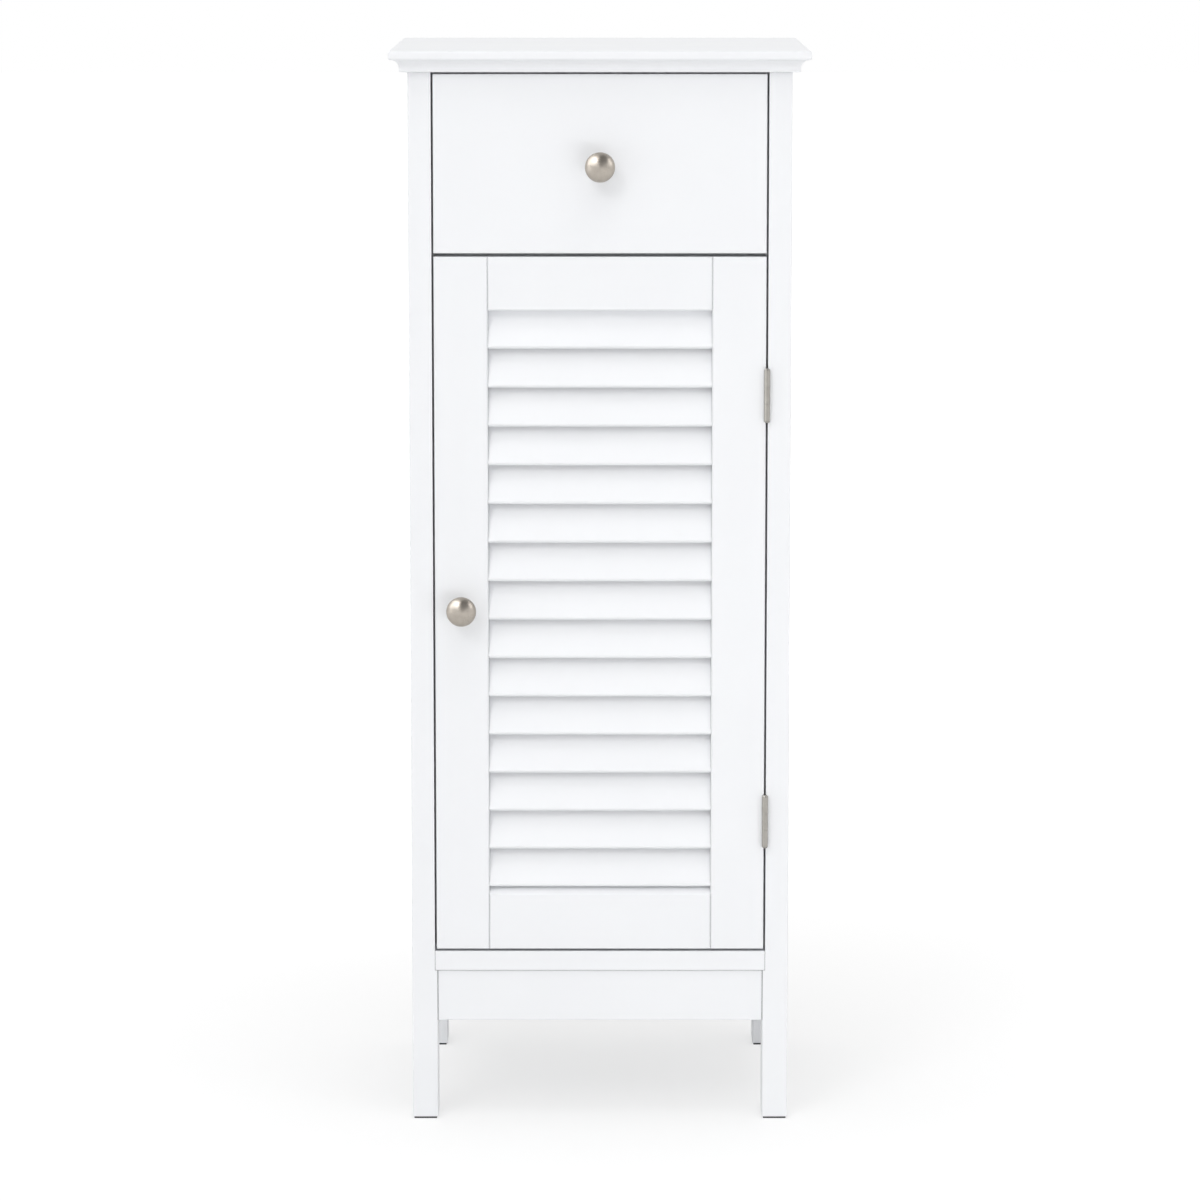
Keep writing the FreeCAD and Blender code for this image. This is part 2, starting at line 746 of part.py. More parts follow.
def shelf():
    """Loose shelf that lies on four pins."""
    place = (f"-({INNER} - shelf_gap)", f"{STOP_PLANE} + shelf_setback", SHELF_SILL)
    depth = f"{BACK_FACE} - shelf_gap - {STOP_PLANE} - shelf_setback"
    keep(fronted_board("shelf", place, f"2 * ({INNER} - shelf_gap)", depth, "shelf_thickness"))


def shelf_pins():
    """Pins under the shelf, and the rows of holes in the left-hand posts."""
    pins = []
    holes = []
    outer = f"-{INNER} - pin_depth"
    rows = int(value("pin_rows"))
    for depth in (PIN_FRONT, PIN_REAR):
        pins.append(rod("shelf_pin", (outer, depth, PIN_LEVEL), X_AXIS,
                        "pin_diameter", "pin_length"))
        for row in range(rows):
            level = f"{PIN_LEVEL} + {row - rows // 2} * pin_spacing"
            start = (f"{outer} - fit_clearance", depth, level)
            holes.append(rod("pin_hole", start, X_AXIS,
                             "pin_diameter + fit_clearance", f"pin_depth + {MARGIN}"))
    keep(both_sides("shelf_pins", pins))
    return holes


def runners(bores):
    """Hardwood cleats on the sides that the drawer slides on."""
    low = (f"-{INNER}", f"{STOP_PLANE} + stop_gap", RUNNER_SILL)
    high = (f"-({INNER} - runner_projection)", f"{BACK_FACE} - stop_gap",
            f"{RUNNER_SILL} + runner_height")
    left = keep(cut("runner_left", block("runner", low, high), bores))
    keep(mirror("runner_right", left))


# ---------------------------------------------------------------- butt hinges

def hinge_leaves(label, side, levels, own, holes):
    """Both leaves of one kind: side is 1 for the frame and -1 for the door."""
    near = f"({HINGE_X} + {side} * hinge_leaf_gap / 2)"
    far = f"({HINGE_X} + {side} * (hinge_leaf_gap / 2 + hinge_leaf_thickness))"
    low_x, high_x = (near, far) if side > 0 else (far, near)
    count = int(value("hinge_knuckles"))
    leaves = []
    for level in levels:
        foot = f"({level} - hinge_length / 2)"
        barrel = rod("barrel", (HINGE_X, HINGE_Y, foot), Z_AXIS,
                     "hinge_barrel_diameter", "hinge_length")
        plate = block("plate", (low_x, HINGE_Y, foot),
                      (high_x, f"{FRONT} + hinge_leaf_depth", f"{foot} + hinge_length"))
        tools = [rod("pin_bore", (HINGE_X, HINGE_Y, f"{foot} - {MARGIN}"), Z_AXIS,
                     "hinge_pin_diameter + fit_clearance", f"hinge_length + 2 * {MARGIN}")]
        for number in range(count):
            if number % 2 != own:
                start = f"{foot} + {number} * hinge_length / {count} - hinge_knuckle_gap / 2"
                tools.append(rod("knuckle_gap", (HINGE_X, HINGE_Y, start), Z_AXIS,
                                 "hinge_barrel_diameter + 2 * hinge_face_gap",
                                 f"hinge_length / {count} + hinge_knuckle_gap"))
        leaf = fused("leaf", [barrel, plate])
        leaves.append(cut("hinge_leaf", leaf, compound("leaf_tools", tools + holes)))
    keep(compound(label, leaves))


def leaf_recesses(side, levels):
    """Shallow recesses for the leaves, in the post for side 1 and in the door for side -1."""
    tools = []
    face = DOORWAY if side > 0 else DOOR_HALF
    into = f"({face} + {side} * ({LEAF_INSET} + fit_clearance))"
    out = f"({face} - {side} * {MARGIN})"
    low_x, high_x = (out, into) if side > 0 else (into, out)
    for level in levels:
        half = "(hinge_length / 2 + fit_clearance)"
        tools.append(block("recess", (low_x, f"{FRONT} - {MARGIN}", f"{level} - {half}"),
                           (high_x, f"{FRONT} + hinge_leaf_depth + fit_clearance",
                            f"{level} + {half}")))
    return tools


def leaf_screw_places(side, levels):
    head = f"{HINGE_X} + {side} * hinge_leaf_gap / 2"
    places = []
    for level in levels:
        for step in (-1, 1):
            height = f"{level} + {step} * hinge_screw_spacing / 2"
            places.append(((head, f"{FRONT} + hinge_screw_setback", height), X_AXIS * side))
    return places


def hinge_pins(levels):
    """Pins with a domed cap at each end."""
    seat = "(hinge_length / 2 + hinge_knuckle_gap)"
    crown = f"({seat} + hinge_cap_height)"
    cap = "(hinge_barrel_diameter / 2)"
    shank = "(hinge_pin_diameter / 2)"
    dome = f"(({cap} ^ 2 + hinge_cap_height ^ 2) / (2 * hinge_cap_height))"
    outline = [
        ("0", f"-{crown}", dome, CONVEX),
        (cap, f"-{seat}"),
        (shank, f"-{seat}"),
        (shank, seat),
        (cap, seat, dome, CONVEX),
        ("0", crown),
    ]
    pins = []
    for level in levels:
        body = new_body("hinge_pin", (HINGE_X, HINGE_Y, level))
        revolve(body, outline)
        pins.append(body)
    keep(compound("hinge_pins", pins))


# ---------------------------------------------------------------- knobs

def knob(label, place):
    """Round knob: a base, a waisted neck and a domed head, bored for its screw."""
    base = "(knob_base_diameter / 2)"
    neck = "(knob_neck_diameter / 2)"
    rim = "(knob_diameter / 2)"
    foot = f"({base} - {neck})"
    crown = "knob_projection"
    brow = f"({crown} - knob_dome_height)"
    under = f"({brow} - knob_rim_height)"
    dome = f"(({rim} ^ 2 + knob_dome_height ^ 2) / (2 * knob_dome_height))"
    bore = "((knob_screw_diameter + fit_clearance) / 2)"
    depth = "(knob_screw_grip + 1)"
    outline = [
        (bore, "0"),
        (base, "0"),
        (base, "knob_rim_height", foot, CONCAVE),
        (neck, f"knob_rim_height + {foot}"),
        (neck, f"{under} - knob_flare_height"),
        (f"{rim} - knob_rim_height / 2", under),
        (rim, f"{under} + knob_rim_height / 2"),
        (rim, brow, dome, CONVEX),
        ("0", crown),
        ("0", depth),
        (bore, depth),
    ]
    body = new_body(label, place)
    turn(body, X_AXIS, "90")
    revolve(body, outline)
    keep(body)


def knob_screw(label, place, thickness):
    """Pan-headed machine screw from the inside into the knob."""
    head = "(knob_screw_head / 2)"
    shank = "(knob_screw_diameter / 2)"
    end = f"({thickness} + knob_screw_grip)"
    height = "knob_screw_head_height"
    outline = [
        ("0", f"-{height}"),
        (f"{head} - knob_screw_head_round", f"-{height}", "knob_screw_head_round", CONVEX),
        (head, f"knob_screw_head_round - {height}"),
        (head, "0"),
        (shank, "0"),
        (shank, end),
        ("0", end),
    ]
    body = new_body(label, place)
    turn(body, X_AXIS, "90")
    revolve(body, outline)
    keep(body)


def knob_bore(place, thickness):
    """The clearance hole from the back of a front to its face."""
    start = (place[0], f"{place[1]} + {MARGIN}", place[2])
    return rod("knob_bore", start, -Y_AXIS, "knob_screw_diameter + 4 * fit_clearance",
               f"{thickness} + 2 * {MARGIN}")


# ---------------------------------------------------------------- magnetic catch

def catch_case(holes):
    """Catch under the divider, and its magnet, which looks at the strike on the door."""
    middle = f"-{STILE_CENTRE}"
    face = f"({STOP_PLANE} + catch_gap)"
    case = block("case", (f"{middle} - catch_case_width / 2", f"{face} + magnet_proud",
                          f"{DIVIDER_SILL} - catch_height"),
                 (f"{middle} + catch_case_width / 2", f"{STOP_PLANE} + catch_depth", DIVIDER_SILL))
    flange = block("flange", (f"{middle} - catch_width / 2",
                              f"{STOP_PLANE} + catch_depth - catch_flange_depth",
                              f"{DIVIDER_SILL} - catch_flange"),
                   (f"{middle} + catch_width / 2", f"{STOP_PLANE} + catch_depth", DIVIDER_SILL))
    magnet = block("catch_magnet", (f"{middle} - magnet_width / 2", face,
                                    f"{DIVIDER_SILL} - catch_height + catch_flange / 2"),
                   (f"{middle} + magnet_width / 2", f"{face} + magnet_depth",
                    f"{DIVIDER_SILL} - catch_flange"))
    tools = compound("case_tools", [magnet] + holes)
    keep(cut("catch_case", fused("case_blank", [case, flange]), tools))
    keep(magnet)


def catch_screw_places():
    places = []
    for step in (-1, 1):
        across = f"-{STILE_CENTRE} + {step} * catch_screw_spacing / 2"
        depth = f"{STOP_PLANE} + catch_depth - catch_flange_depth / 2"
        places.append(((across, depth, f"{DIVIDER_SILL} - catch_flange"), Z_AXIS))
    return places


def strike_plate(holes):
    """Steel plate on the back of the door, opposite the magnet."""
    low = (f"-{STILE_CENTRE} - strike_width / 2", DOOR_BACK,
           f"{STRIKE_LEVEL} - strike_height / 2")
    high = (f"-{STILE_CENTRE} + strike_width / 2", f"{DOOR_BACK} + strike_thickness",
            f"{STRIKE_LEVEL} + strike_height / 2")
    keep(cut("strike_plate", block("strike", low, high), compound("strike_tools", holes)))


# ---------------------------------------------------------------- door

def slat(label, number, grow="0"):
    """One louvre slat, or with grow the space it needs in the stiles."""
    level = (f"{LOUVRE_SILL} + louvre_sill_gap + {LOUVRE_DIP}"
             f" + (louvre_count - {number}) * {LOUVRE_PITCH}")
    body = new_body(label, ("0", f"{FRONT} + louvre_setback", level))
    turn(body, X_AXIS, f"-{LOUVRE_TILT}")
    edge = f"({LOUVRE_ROUND} + {grow})"
    section = rounded_rectangle(f"-({grow})", f"-({grow})", f"(louvre_thickness + {grow})",
                                f"({LOUVRE_RISE} / cos({LOUVRE_TILT}) + {grow})", edge)
    length = f"2 * ({STILE_INNER} + louvre_housing - fit_clearance + {grow})"
    pad(body, draw(body, "YZ_Plane", section), length, centred=True)
    return body


def louvres():
    """The fixed slats, numbered from the top, and the housings they need."""
    housings = []
    for number in range(1, int(value("louvre_count")) + 1):
        keep(slat(f"louvre_slat_{number:02d}", number))
        housings.append(slat(f"housing_{number:02d}", number, "fit_clearance"))
    return housings


def stiles(shared, left_tools, right_tools):
    """Upright members of the door, housed for the slats; the hinge leaves go in the right one."""
    inner = value("stile_width")
    body = fronted_board("stile", (f"-{DOOR_HALF}", FRONT, DOOR_SILL),
                         "stile_width", "door_thickness", DOOR_HEIGHT,
                         lambda box: beside(box.XMin, box.XMax, inner))
    housed = cut("stile_housed", body, shared)
    keep(cut("door_stile_right", mirror("stile_twin", housed), right_tools))
    keep(cut("door_stile_left", housed, left_tools))


def rails(bores):
    """Cross members of the door: the upper rebated for the top slat, the lower bevelled."""
    width = f"2 * {STILE_INNER}"
    half = value(STILE_INNER)
    upper = fronted_board("door_rail_upper", (f"-{STILE_INNER}", FRONT, LOUVRE_HEAD),
                          width, "door_thickness", "upper_rail_height",
                          lambda box: (beside(box.XMin, box.XMax, 0)
                                       or beside(box.XMin, box.XMax, 2 * half)
                                       or beside(box.ZMin, box.ZMax, 0)))
    rebate_y = (f"{FRONT} + louvre_setback - stop_gap / 2"
                f" + ({LOUVRE_PITCH} - {LOUVRE_DIP}) * tan({LOUVRE_TILT})")
    rise = f"louvre_overlap + {LOUVRE_DIP} + stop_gap"
    rebate = block("rebate", (f"-{STILE_INNER} - {MARGIN}", rebate_y, f"{LOUVRE_HEAD} - {MARGIN}"),
                   (f"{STILE_INNER} + {MARGIN}", f"{DOOR_BACK} + {MARGIN}",
                    f"{LOUVRE_HEAD} + {rise}"))
    keep(cut("door_rail_upper", upper, compound("upper_tools", [bores, rebate])))
    lower = new_body("door_rail_lower", ("0", FRONT, DOOR_SILL))
    section = [
        ("0", "0"),
        ("door_thickness", "0"),
        ("door_thickness", f"lower_rail_height + {RAIL_BEVEL}"),
        ("0", "lower_rail_height"),
    ]
    pad(lower, draw(lower, "YZ_Plane", section), width, centred=True)
    ease_front(lower, lambda box: (beside(box.XMin, box.XMax, -half)
                                   or beside(box.XMin, box.XMax, half)))
    keep(cut("door_rail_lower", lower, bores))


def door_dowels():
    """Left-hand dowels between the stiles and the rails."""
    places = []
    for sill, height in ((DOOR_SILL, "lower_rail_height"), (LOUVRE_HEAD, "upper_rail_height")):
        for share in (f"{sill} + rail_dowel_margin", f"{sill} + {height} - rail_dowel_margin"):
            places.append(((f"-{STILE_INNER}", f"{FRONT} + door_thickness / 2", share), X_AXIS))
    return pegs("door_dowel", places, "dowel_diameter", "dowel_length")


# ---------------------------------------------------------------- drawer

def drawer_dowels():
    """Left-hand dowels from the drawer side into the front and the back."""
    side_middle = f"-({DRAWER_OUTER} + {DRAWER_INNER}) / 2"
    front_seam = f"{DRAWER_BACK_OF_FRONT} + (small_dowel_length - drawer_front_thickness) / 3"
    back_seam = f"-{DRAWER_INNER} + (small_dowel_length - drawer_side_thickness) / 3"
    places = []
    for level in (f"{DRAWER_FLOOR} + drawer_dowel_margin", f"{DRAWER_RIM} - drawer_dowel_margin"):
        places.append(((side_middle, front_seam, level), Y_AXIS))
        places.append(((back_seam, f"{DRAWER_END} - drawer_side_thickness / 2", level), X_AXIS))
    return pegs("drawer_dowel", places, "small_dowel_diameter", "small_dowel_length")


def drawer_box(bores, knob_place):
    """Front, sides, back and bottom of the drawer."""
    groove = block("bottom_groove",
                   (f"-({DRAWER_INNER} + drawer_bottom_groove)",
                    f"{DRAWER_BACK_OF_FRONT} - drawer_bottom_groove",
                    f"{DRAWER_BOTTOM} - fit_clearance"),
                   (f"{DRAWER_INNER} + drawer_bottom_groove", f"{DRAWER_END} + {MARGIN}",
                    f"{DRAWER_BOTTOM} + drawer_bottom_thickness + fit_clearance"))
    front = fronted_board("drawer_front", (f"-{DOOR_HALF}", FRONT, DRAWER_SILL),
                          f"2 * {DOOR_HALF}", "drawer_front_thickness", "drawer_front_height")
    bore = knob_bore(knob_place, "drawer_front_thickness")
    keep(cut("drawer_front", front, compound("front_tools", [bores, groove, bore])))
    side = block("drawer_side", (f"-{DRAWER_OUTER}", DRAWER_BACK_OF_FRONT, DRAWER_FLOOR),
                 (f"-{DRAWER_INNER}", DRAWER_END, DRAWER_RIM))
    channel = block("runner_groove",
                    (f"-{DRAWER_OUTER} - {MARGIN}", f"{DRAWER_BACK_OF_FRONT} - {MARGIN}",
                     f"{RUNNER_SILL} - runner_play"),
                    (f"-({INNER} - runner_projection - runner_play)", f"{DRAWER_END} + {MARGIN}",
                     f"{RUNNER_SILL} + runner_height + fit_clearance"))
    left = keep(cut("drawer_side_left", side, compound("side_tools", [bores, groove, channel])))
    keep(mirror("drawer_side_right", left))
    back_y = f"({DRAWER_END} - drawer_side_thickness)"
    back = block("drawer_rear", (f"-{DRAWER_INNER}", back_y,
                                 f"{DRAWER_BOTTOM} + drawer_bottom_thickness"),
                 (DRAWER_INNER, DRAWER_END, DRAWER_RIM))
    peg_bore = stop_peg("fit_clearance")
    keep(cut("drawer_back", back, compound("back_tools", [bores, peg_bore])))
    edge = f"({DRAWER_INNER} + drawer_bottom_groove - fit_clearance)"
    keep(block("drawer_bottom",
               (f"-{edge}", f"{DRAWER_BACK_OF_FRONT} - drawer_bottom_groove + fit_clearance",
                DRAWER_BOTTOM),
               (edge, DRAWER_END, f"{DRAWER_BOTTOM} + drawer_bottom_thickness")))


def stop_peg(grow="0"):
    """Peg that holds the stop in the drawer back."""
    start = ("0", f"{DRAWER_END} - drawer_side_thickness",
             f"({STOP_TOP} - stop_length + {DRAWER_RIM}) / 2")
    return rod("stop_peg", start, Y_AXIS, f"stop_peg_diameter + {grow}",
               "drawer_side_thickness")


def drawer_stop():
    """Stop on the drawer back, which meets the top rail when the drawer is pulled out."""
    face = f"({DRAWER_END} - drawer_side_thickness)"
    plate = block("stop_plate", ("-stop_width / 2", f"{face} - stop_thickness",
                                 f"{STOP_TOP} - stop_length"),
                  ("stop_width / 2", face, STOP_TOP))
    keep(fused("drawer_stop", [plate, stop_peg()]))


# ---------------------------------------------------------------- assembly

def build_cabinet():
    levels = (HINGE_UPPER, HINGE_LOWER)
    dowels, dowel_bores = carcass_dowels()
    cams, bolts, cam_bores = cam_fittings()
    pin_holes = shelf_pins()
    frame_screws, frame_holes = screws("frame_screw", leaf_screw_places(1, levels))
    catch_screws, catch_holes = screws("catch_screw", catch_screw_places())
    back_screws, back_holes = screws("back_screw", back_screw_places())
    runner_screws, runner_holes = screws("runner_screw", runner_screw_places())
    left = compound("left_bores", dowel_bores + cam_bores + pin_holes + runner_holes)
    both = compound("both_bores", [left, mirror("right_bores", left)] + catch_holes + back_holes)
    top_panel(both)
    posts(left, compound("hinge_tools", leaf_recesses(1, levels) + frame_holes))
    side_panels(left)
    bottom_panel(both)
    aprons(both)
    inner_boards(both)
    shelf()
    runners(left)
    keep(both_sides("carcass_dowels", dowels))
    keep(both_sides("cam_locks", cams))
    keep(both_sides("cam_bolts", bolts))
    glides()
    catch_case(catch_holes)
    hinge_leaves("hinge_frame_leaves", 1, levels, 0, frame_holes)
    hinge_pins(levels)
    right_screws = mirror("runner_screws_right", compound("runner_screws_left", runner_screws))
    keep(compound("cabinet_screws", frame_screws + catch_screws + back_screws + runner_screws
                  + [right_screws]))


def back_screw_places():
    """Two screws through the back into the divider, and two into the cabinet floor."""
    rear = f"{BACK} - back_inset"
    levels = (f"{APRON_TOP} + bottom_thickness / 2", f"{DIVIDER_SILL} + divider_thickness / 2")
    return [((f"{step} * back_screw_spacing / 2", rear, level), -Y_AXIS)
            for level in levels for step in (-1, 1)]


def runner_screw_places():
    level = f"{RUNNER_SILL} + runner_height / 2"
    inner = f"-({INNER} - runner_projection)"
    ends = (f"{FRONT} + runner_screw_margin", f"{BACK} - runner_screw_margin")
    return [((inner, depth, level), -X_AXIS) for depth in ends]


def build_door():
    levels = (HINGE_UPPER, HINGE_LOWER)
    dowels, dowel_bores = door_dowels()
    leaf_screws, leaf_holes = screws("leaf_screw", leaf_screw_places(-1, levels))
    strike_head = (f"-{STILE_CENTRE}", f"{DOOR_BACK} + strike_thickness", STRIKE_LEVEL)
    strike_screws, strike_holes = screws("strike_screw", [(strike_head, -Y_AXIS)])
    knob_place = (f"-{STILE_CENTRE}", DOOR_BACK, KNOB_HEIGHT)
    housings = louvres()
    shared = compound("stile_shared", dowel_bores + housings)
    left_tools = compound("stile_left_tools",
                          [knob_bore(knob_place, "door_thickness")] + strike_holes)
    right_tools = compound("stile_right_tools", leaf_recesses(-1, levels) + leaf_holes)
    stiles(shared, left_tools, right_tools)
    bores = compound("rail_bores_left", dowel_bores)
    rails(compound("rail_bores", [bores, mirror("rail_bores_right", bores)]))
    keep(both_sides("door_dowels", dowels))
    hinge_leaves("hinge_door_leaves", -1, levels, 1, leaf_holes)
    strike_plate(strike_holes)
    keep(compound("door_screws", leaf_screws + strike_screws))
    knob("door_knob", (knob_place[0], FRONT, KNOB_HEIGHT))
    knob_screw("door_knob_screw", knob_place, "door_thickness")


def build_drawer():
    dowels, dowel_bores = drawer_dowels()
    knob_place = ("0", DRAWER_BACK_OF_FRONT, DRAWER_KNOB_HEIGHT)
    left = compound("drawer_bores_left", dowel_bores)
    drawer_box(compound("drawer_bores", [left, mirror("drawer_bores_right", left)]), knob_place)
    keep(both_sides("drawer_dowels", dowels))
    drawer_stop()
    knob("drawer_knob", (knob_place[0], FRONT, DRAWER_KNOB_HEIGHT))
    knob_screw("drawer_knob_screw", knob_place, "drawer_front_thickness")


def check_model():
    """Stop on any failed object or broken piece, before a file is written."""
    for item in doc.Objects:
        if "Invalid" in item.State or "Error" in item.State:
            raise RuntimeError(f"{item.Label} failed: {item.State}")
    labels = [node.Label for node in nodes]
    if len(set(labels)) != len(labels):
        raise RuntimeError("two pieces share a label")
    for node in nodes:
        if node.Shape.isNull() or not node.Shape.isValid() or not node.Shape.Solids:
            raise RuntimeError(f"{node.Label} has no sound shape")


def write_parts():
    os.makedirs("parts", exist_ok=True)
    for node in nodes:
        node.Shape.exportStep(f"parts/{node.Label}.step")


fill_sheet()
build_cabinet()
build_door()
build_drawer()
doc.recompute()
check_model()
write_parts()
print(f"{len(nodes)} pieces written")
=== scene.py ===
import json
import math

import bmesh
import bpy
from mathutils import Matrix, Vector


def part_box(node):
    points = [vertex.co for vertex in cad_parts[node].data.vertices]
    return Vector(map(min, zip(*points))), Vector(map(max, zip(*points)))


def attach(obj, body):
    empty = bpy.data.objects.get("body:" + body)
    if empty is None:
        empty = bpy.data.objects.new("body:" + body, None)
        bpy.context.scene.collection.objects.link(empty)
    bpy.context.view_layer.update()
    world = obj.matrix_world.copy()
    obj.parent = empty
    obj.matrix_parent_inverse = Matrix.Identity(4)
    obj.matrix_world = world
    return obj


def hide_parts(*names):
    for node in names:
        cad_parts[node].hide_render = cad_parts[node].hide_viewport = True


# Looks of the louvred door cabinet: its lacquer, its nickel knobs and hinges, its small
# hardware, and the light and floor that it stands in. Lengths are in metres, apart from the
# steps of turned pieces, which are in millimetres.

MM = 0.001
SIDES = 72                          # sides of a turned piece
TO_FRONT = Vector((0, -1, 0))
TO_RIGHT = Vector((1, 0, 0))
UP = Vector((0, 0, 1))

# Painted shade in the shut seams of the lacquered front: the lacquer's colour is darkened where
# ambient occlusion finds other surfaces close by.
PAINTED_SHADE_REACH = 1.4 * MM               # less than the 1.5 mm of the narrowest open gap
# colour of the painted shade in the seams
PAINTED_SEAM_SHADE = (0.05, 0.05, 0.053)
SEAM_OPEN = 0.85                    # share of open air from which no painted shade is laid on the paint
DOOR_BACK = -0.1135                 # just in front of the back of the door and drawer front

# The floor: its paint as the light meets it, and as it is seen, with a glow over it.
FLOOR_PAINT = 0.86
FLOOR_SHOWN = 0.42
GLOW_NEAR, GLOW_FAR = 0.6, 0.88
GLOW_REACH = (0.45, 1.6)            # square roots of the distances between which it grows

# The surroundings: their light, and the dim fan in them that the nickel mirrors.
SKY_LIGHT = 0.66
FAN_TURN = math.radians(20)         # right of upright
FAN_TILT = math.radians(44)         # of its middle, from the way to the viewer
FAN_WIDTH, FAN_LENGTH = 0.56, 0.75
FAN_DIMMING = 0.72
FAN_EDGE = (0.5, 1.15)              # where it starts to fade, and where it ends

# Soft lamps: place, size, power, mirrored in gloss, lighting the object.
SOFTBOXES = {
    "key_light": ((-3.0, -6.0, 5.2), (2.6, 2.6), 104, True, True),
    "sheen_light": ((-2.1, -1.85, 2.5), (4.0, 3.0), 72, True, False),
    "rim_light": ((2.4, -1.4, 1.9), (0.9, 1.8), 12, True, False),
    "side_light": ((-3.0, -1.9, 0.3), (1.8, 1.8), 9, True, True),
    "top_light": ((0.3, -1.2, 3.4), (2.4, 1.2), 18, False, True),
    "fill_light": ((0.8, -1.5, 0.0), (1.6, 0.6), 9, False, True),
}
MIDDLE = Vector((0, 0, 0.5))        # where they all aim

CAMERA_PLACE = (0, -3.941, 1.013)
CAMERA_TIP = 8.42                   # degrees below level

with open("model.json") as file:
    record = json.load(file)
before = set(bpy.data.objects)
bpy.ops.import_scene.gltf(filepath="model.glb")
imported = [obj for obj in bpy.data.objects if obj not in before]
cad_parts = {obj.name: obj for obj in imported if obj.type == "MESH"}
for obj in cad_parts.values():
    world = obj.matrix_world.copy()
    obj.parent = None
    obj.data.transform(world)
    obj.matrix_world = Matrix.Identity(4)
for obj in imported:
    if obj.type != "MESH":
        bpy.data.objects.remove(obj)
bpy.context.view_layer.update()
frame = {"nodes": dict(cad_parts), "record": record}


# ------------------------------------------------------------------ finishes

def add(tree, kind, props=None, **sockets):
    """A shader node with its properties set and its sockets set or wired."""
    node = tree.nodes.new(kind)
    for name, setting in (props or {}).items():
        setattr(node, name, setting)
    for name, source in sockets.items():
        wire(tree, source, node.inputs[name.replace("_", " ")])
    return node


def wire(tree, source, socket):
    """Link a socket to a source, or set it to a plain value."""
    if isinstance(source, bpy.types.NodeSocket):
        tree.links.new(source, socket)
    else:
        socket.default_value = source


def sums(tree, operation, first, second=0.0):
    """One step of arithmetic on a pattern."""
    node = add(tree, "ShaderNodeMath", {"operation": operation})
    wire(tree, first, node.inputs[0])
    wire(tree, second, node.inputs[1])
    return node.outputs[0]


def new_finish(name, **settings):
    """A finish with one shader, and the constants that are the same all over it."""
    finish = bpy.data.materials.new(name)
    finish.use_nodes = True
    tree = finish.node_tree
    tree.nodes.clear()
    shader = add(tree, "ShaderNodeBsdfPrincipled", **settings)
    output = tree.nodes.new("ShaderNodeOutputMaterial")
    tree.links.new(shader.outputs[0], output.inputs["Surface"])
    return finish, tree, shader


def on_piece(tree, centre=(0, 0, 0), stretch=(1, 1, 1)):
    """Places on the piece, measured from a centre and stretched along its grain."""
    place = tree.nodes.new("ShaderNodeTexCoord").outputs["Object"]
    shift = tuple(-step * scale for step, scale in zip(centre, stretch))
    node = add(tree, "ShaderNodeMapping", Vector=place, Location=shift, Scale=stretch)
    return node.outputs[0]


def grain(tree, place, scale, detail):
    """An uneven pattern of a given fineness."""
    node = add(tree, "ShaderNodeTexNoise", Vector=place, Scale=scale, Detail=detail)
    return node.outputs[0]


def spread(tree, source, low, high):
    """A pattern spread between two levels."""
    node = add(tree, "ShaderNodeMapRange", Value=source, From_Min=0.3, From_Max=0.7,
               To_Min=low, To_Max=high)
    return node.outputs[0]


def tinted(tree, source, first, second):
    """A colour that goes from the first to the second as the pattern grows."""
    node = add(tree, "ShaderNodeMix", {"data_type": "RGBA"})
    wire(tree, source, node.inputs[0])
    wire(tree, (*first, 1), node.inputs[6])
    wire(tree, (*second, 1), node.inputs[7])
    return node.outputs[2]


def relief(tree, source, depth, under=None):
    """Bumps of a given depth, on top of those under them."""
    node = add(tree, "ShaderNodeBump", Height=source, Distance=depth)
    if under is not None:
        wire(tree, under, node.inputs["Normal"])
    return node.outputs[0]


def eased_edges(tree, radius):
    """Edges that take the light as if they were rubbed down before painting."""
    return add(tree, "ShaderNodeBevel", {"samples": 4}, Radius=radius).outputs[0]


def painted_seam_shade(tree, paint):
    """Painted shade: the paint turns dark where ambient occlusion finds the shut seams of the
    front, and not in the gaps that open.
    """
    air = add(tree, "ShaderNodeAmbientOcclusion", {"samples": 4}, Distance=PAINTED_SHADE_REACH)
    clear = add(tree, "ShaderNodeMapRange", Value=air.outputs["AO"], From_Max=SEAM_OPEN)
    place = add(tree, "ShaderNodeSeparateXYZ", Vector=on_piece(tree))
    behind = add(tree, "ShaderNodeMapRange", Value=place.outputs["Y"],
                 From_Min=DOOR_BACK - 1.5 * MM, From_Max=DOOR_BACK)
    node = add(tree, "ShaderNodeMix", {"data_type": "RGBA"})
    wire(tree, sums(tree, "MAXIMUM", clear.outputs[0], behind.outputs[0]), node.inputs[0])
    wire(tree, (*PAINTED_SEAM_SHADE, 1), node.inputs[6])
    wire(tree, paint, node.inputs[7])
    return node.outputs[2]


def white_lacquer():
    """Sprayed satin lacquer on fibreboard: nearly flat, with a faint orange peel."""
    finish, tree, shader = new_finish("white_lacquer", IOR=1.5)
    place = on_piece(tree)
    cloud = spread(tree, grain(tree, place, 9, 3), 0, 1)
    paint = tinted(tree, cloud, (0.868, 0.878, 0.898), (0.884, 0.894, 0.912))
    # the base colour carries painted shade in the shut seams of the front
    wire(tree, painted_seam_shade(tree, paint), shader.inputs["Base Color"])
    wire(tree, spread(tree, grain(tree, place, 55, 4), 0.33, 0.43), shader.inputs["Roughness"])
    peel = relief(tree, grain(tree, place, 420, 2), 0.03 * MM, eased_edges(tree, 0.5 * MM))
    wire(tree, relief(tree, grain(tree, place, 1900, 2), 0.006 * MM, peel),
         shader.inputs["Normal"])
    return finish


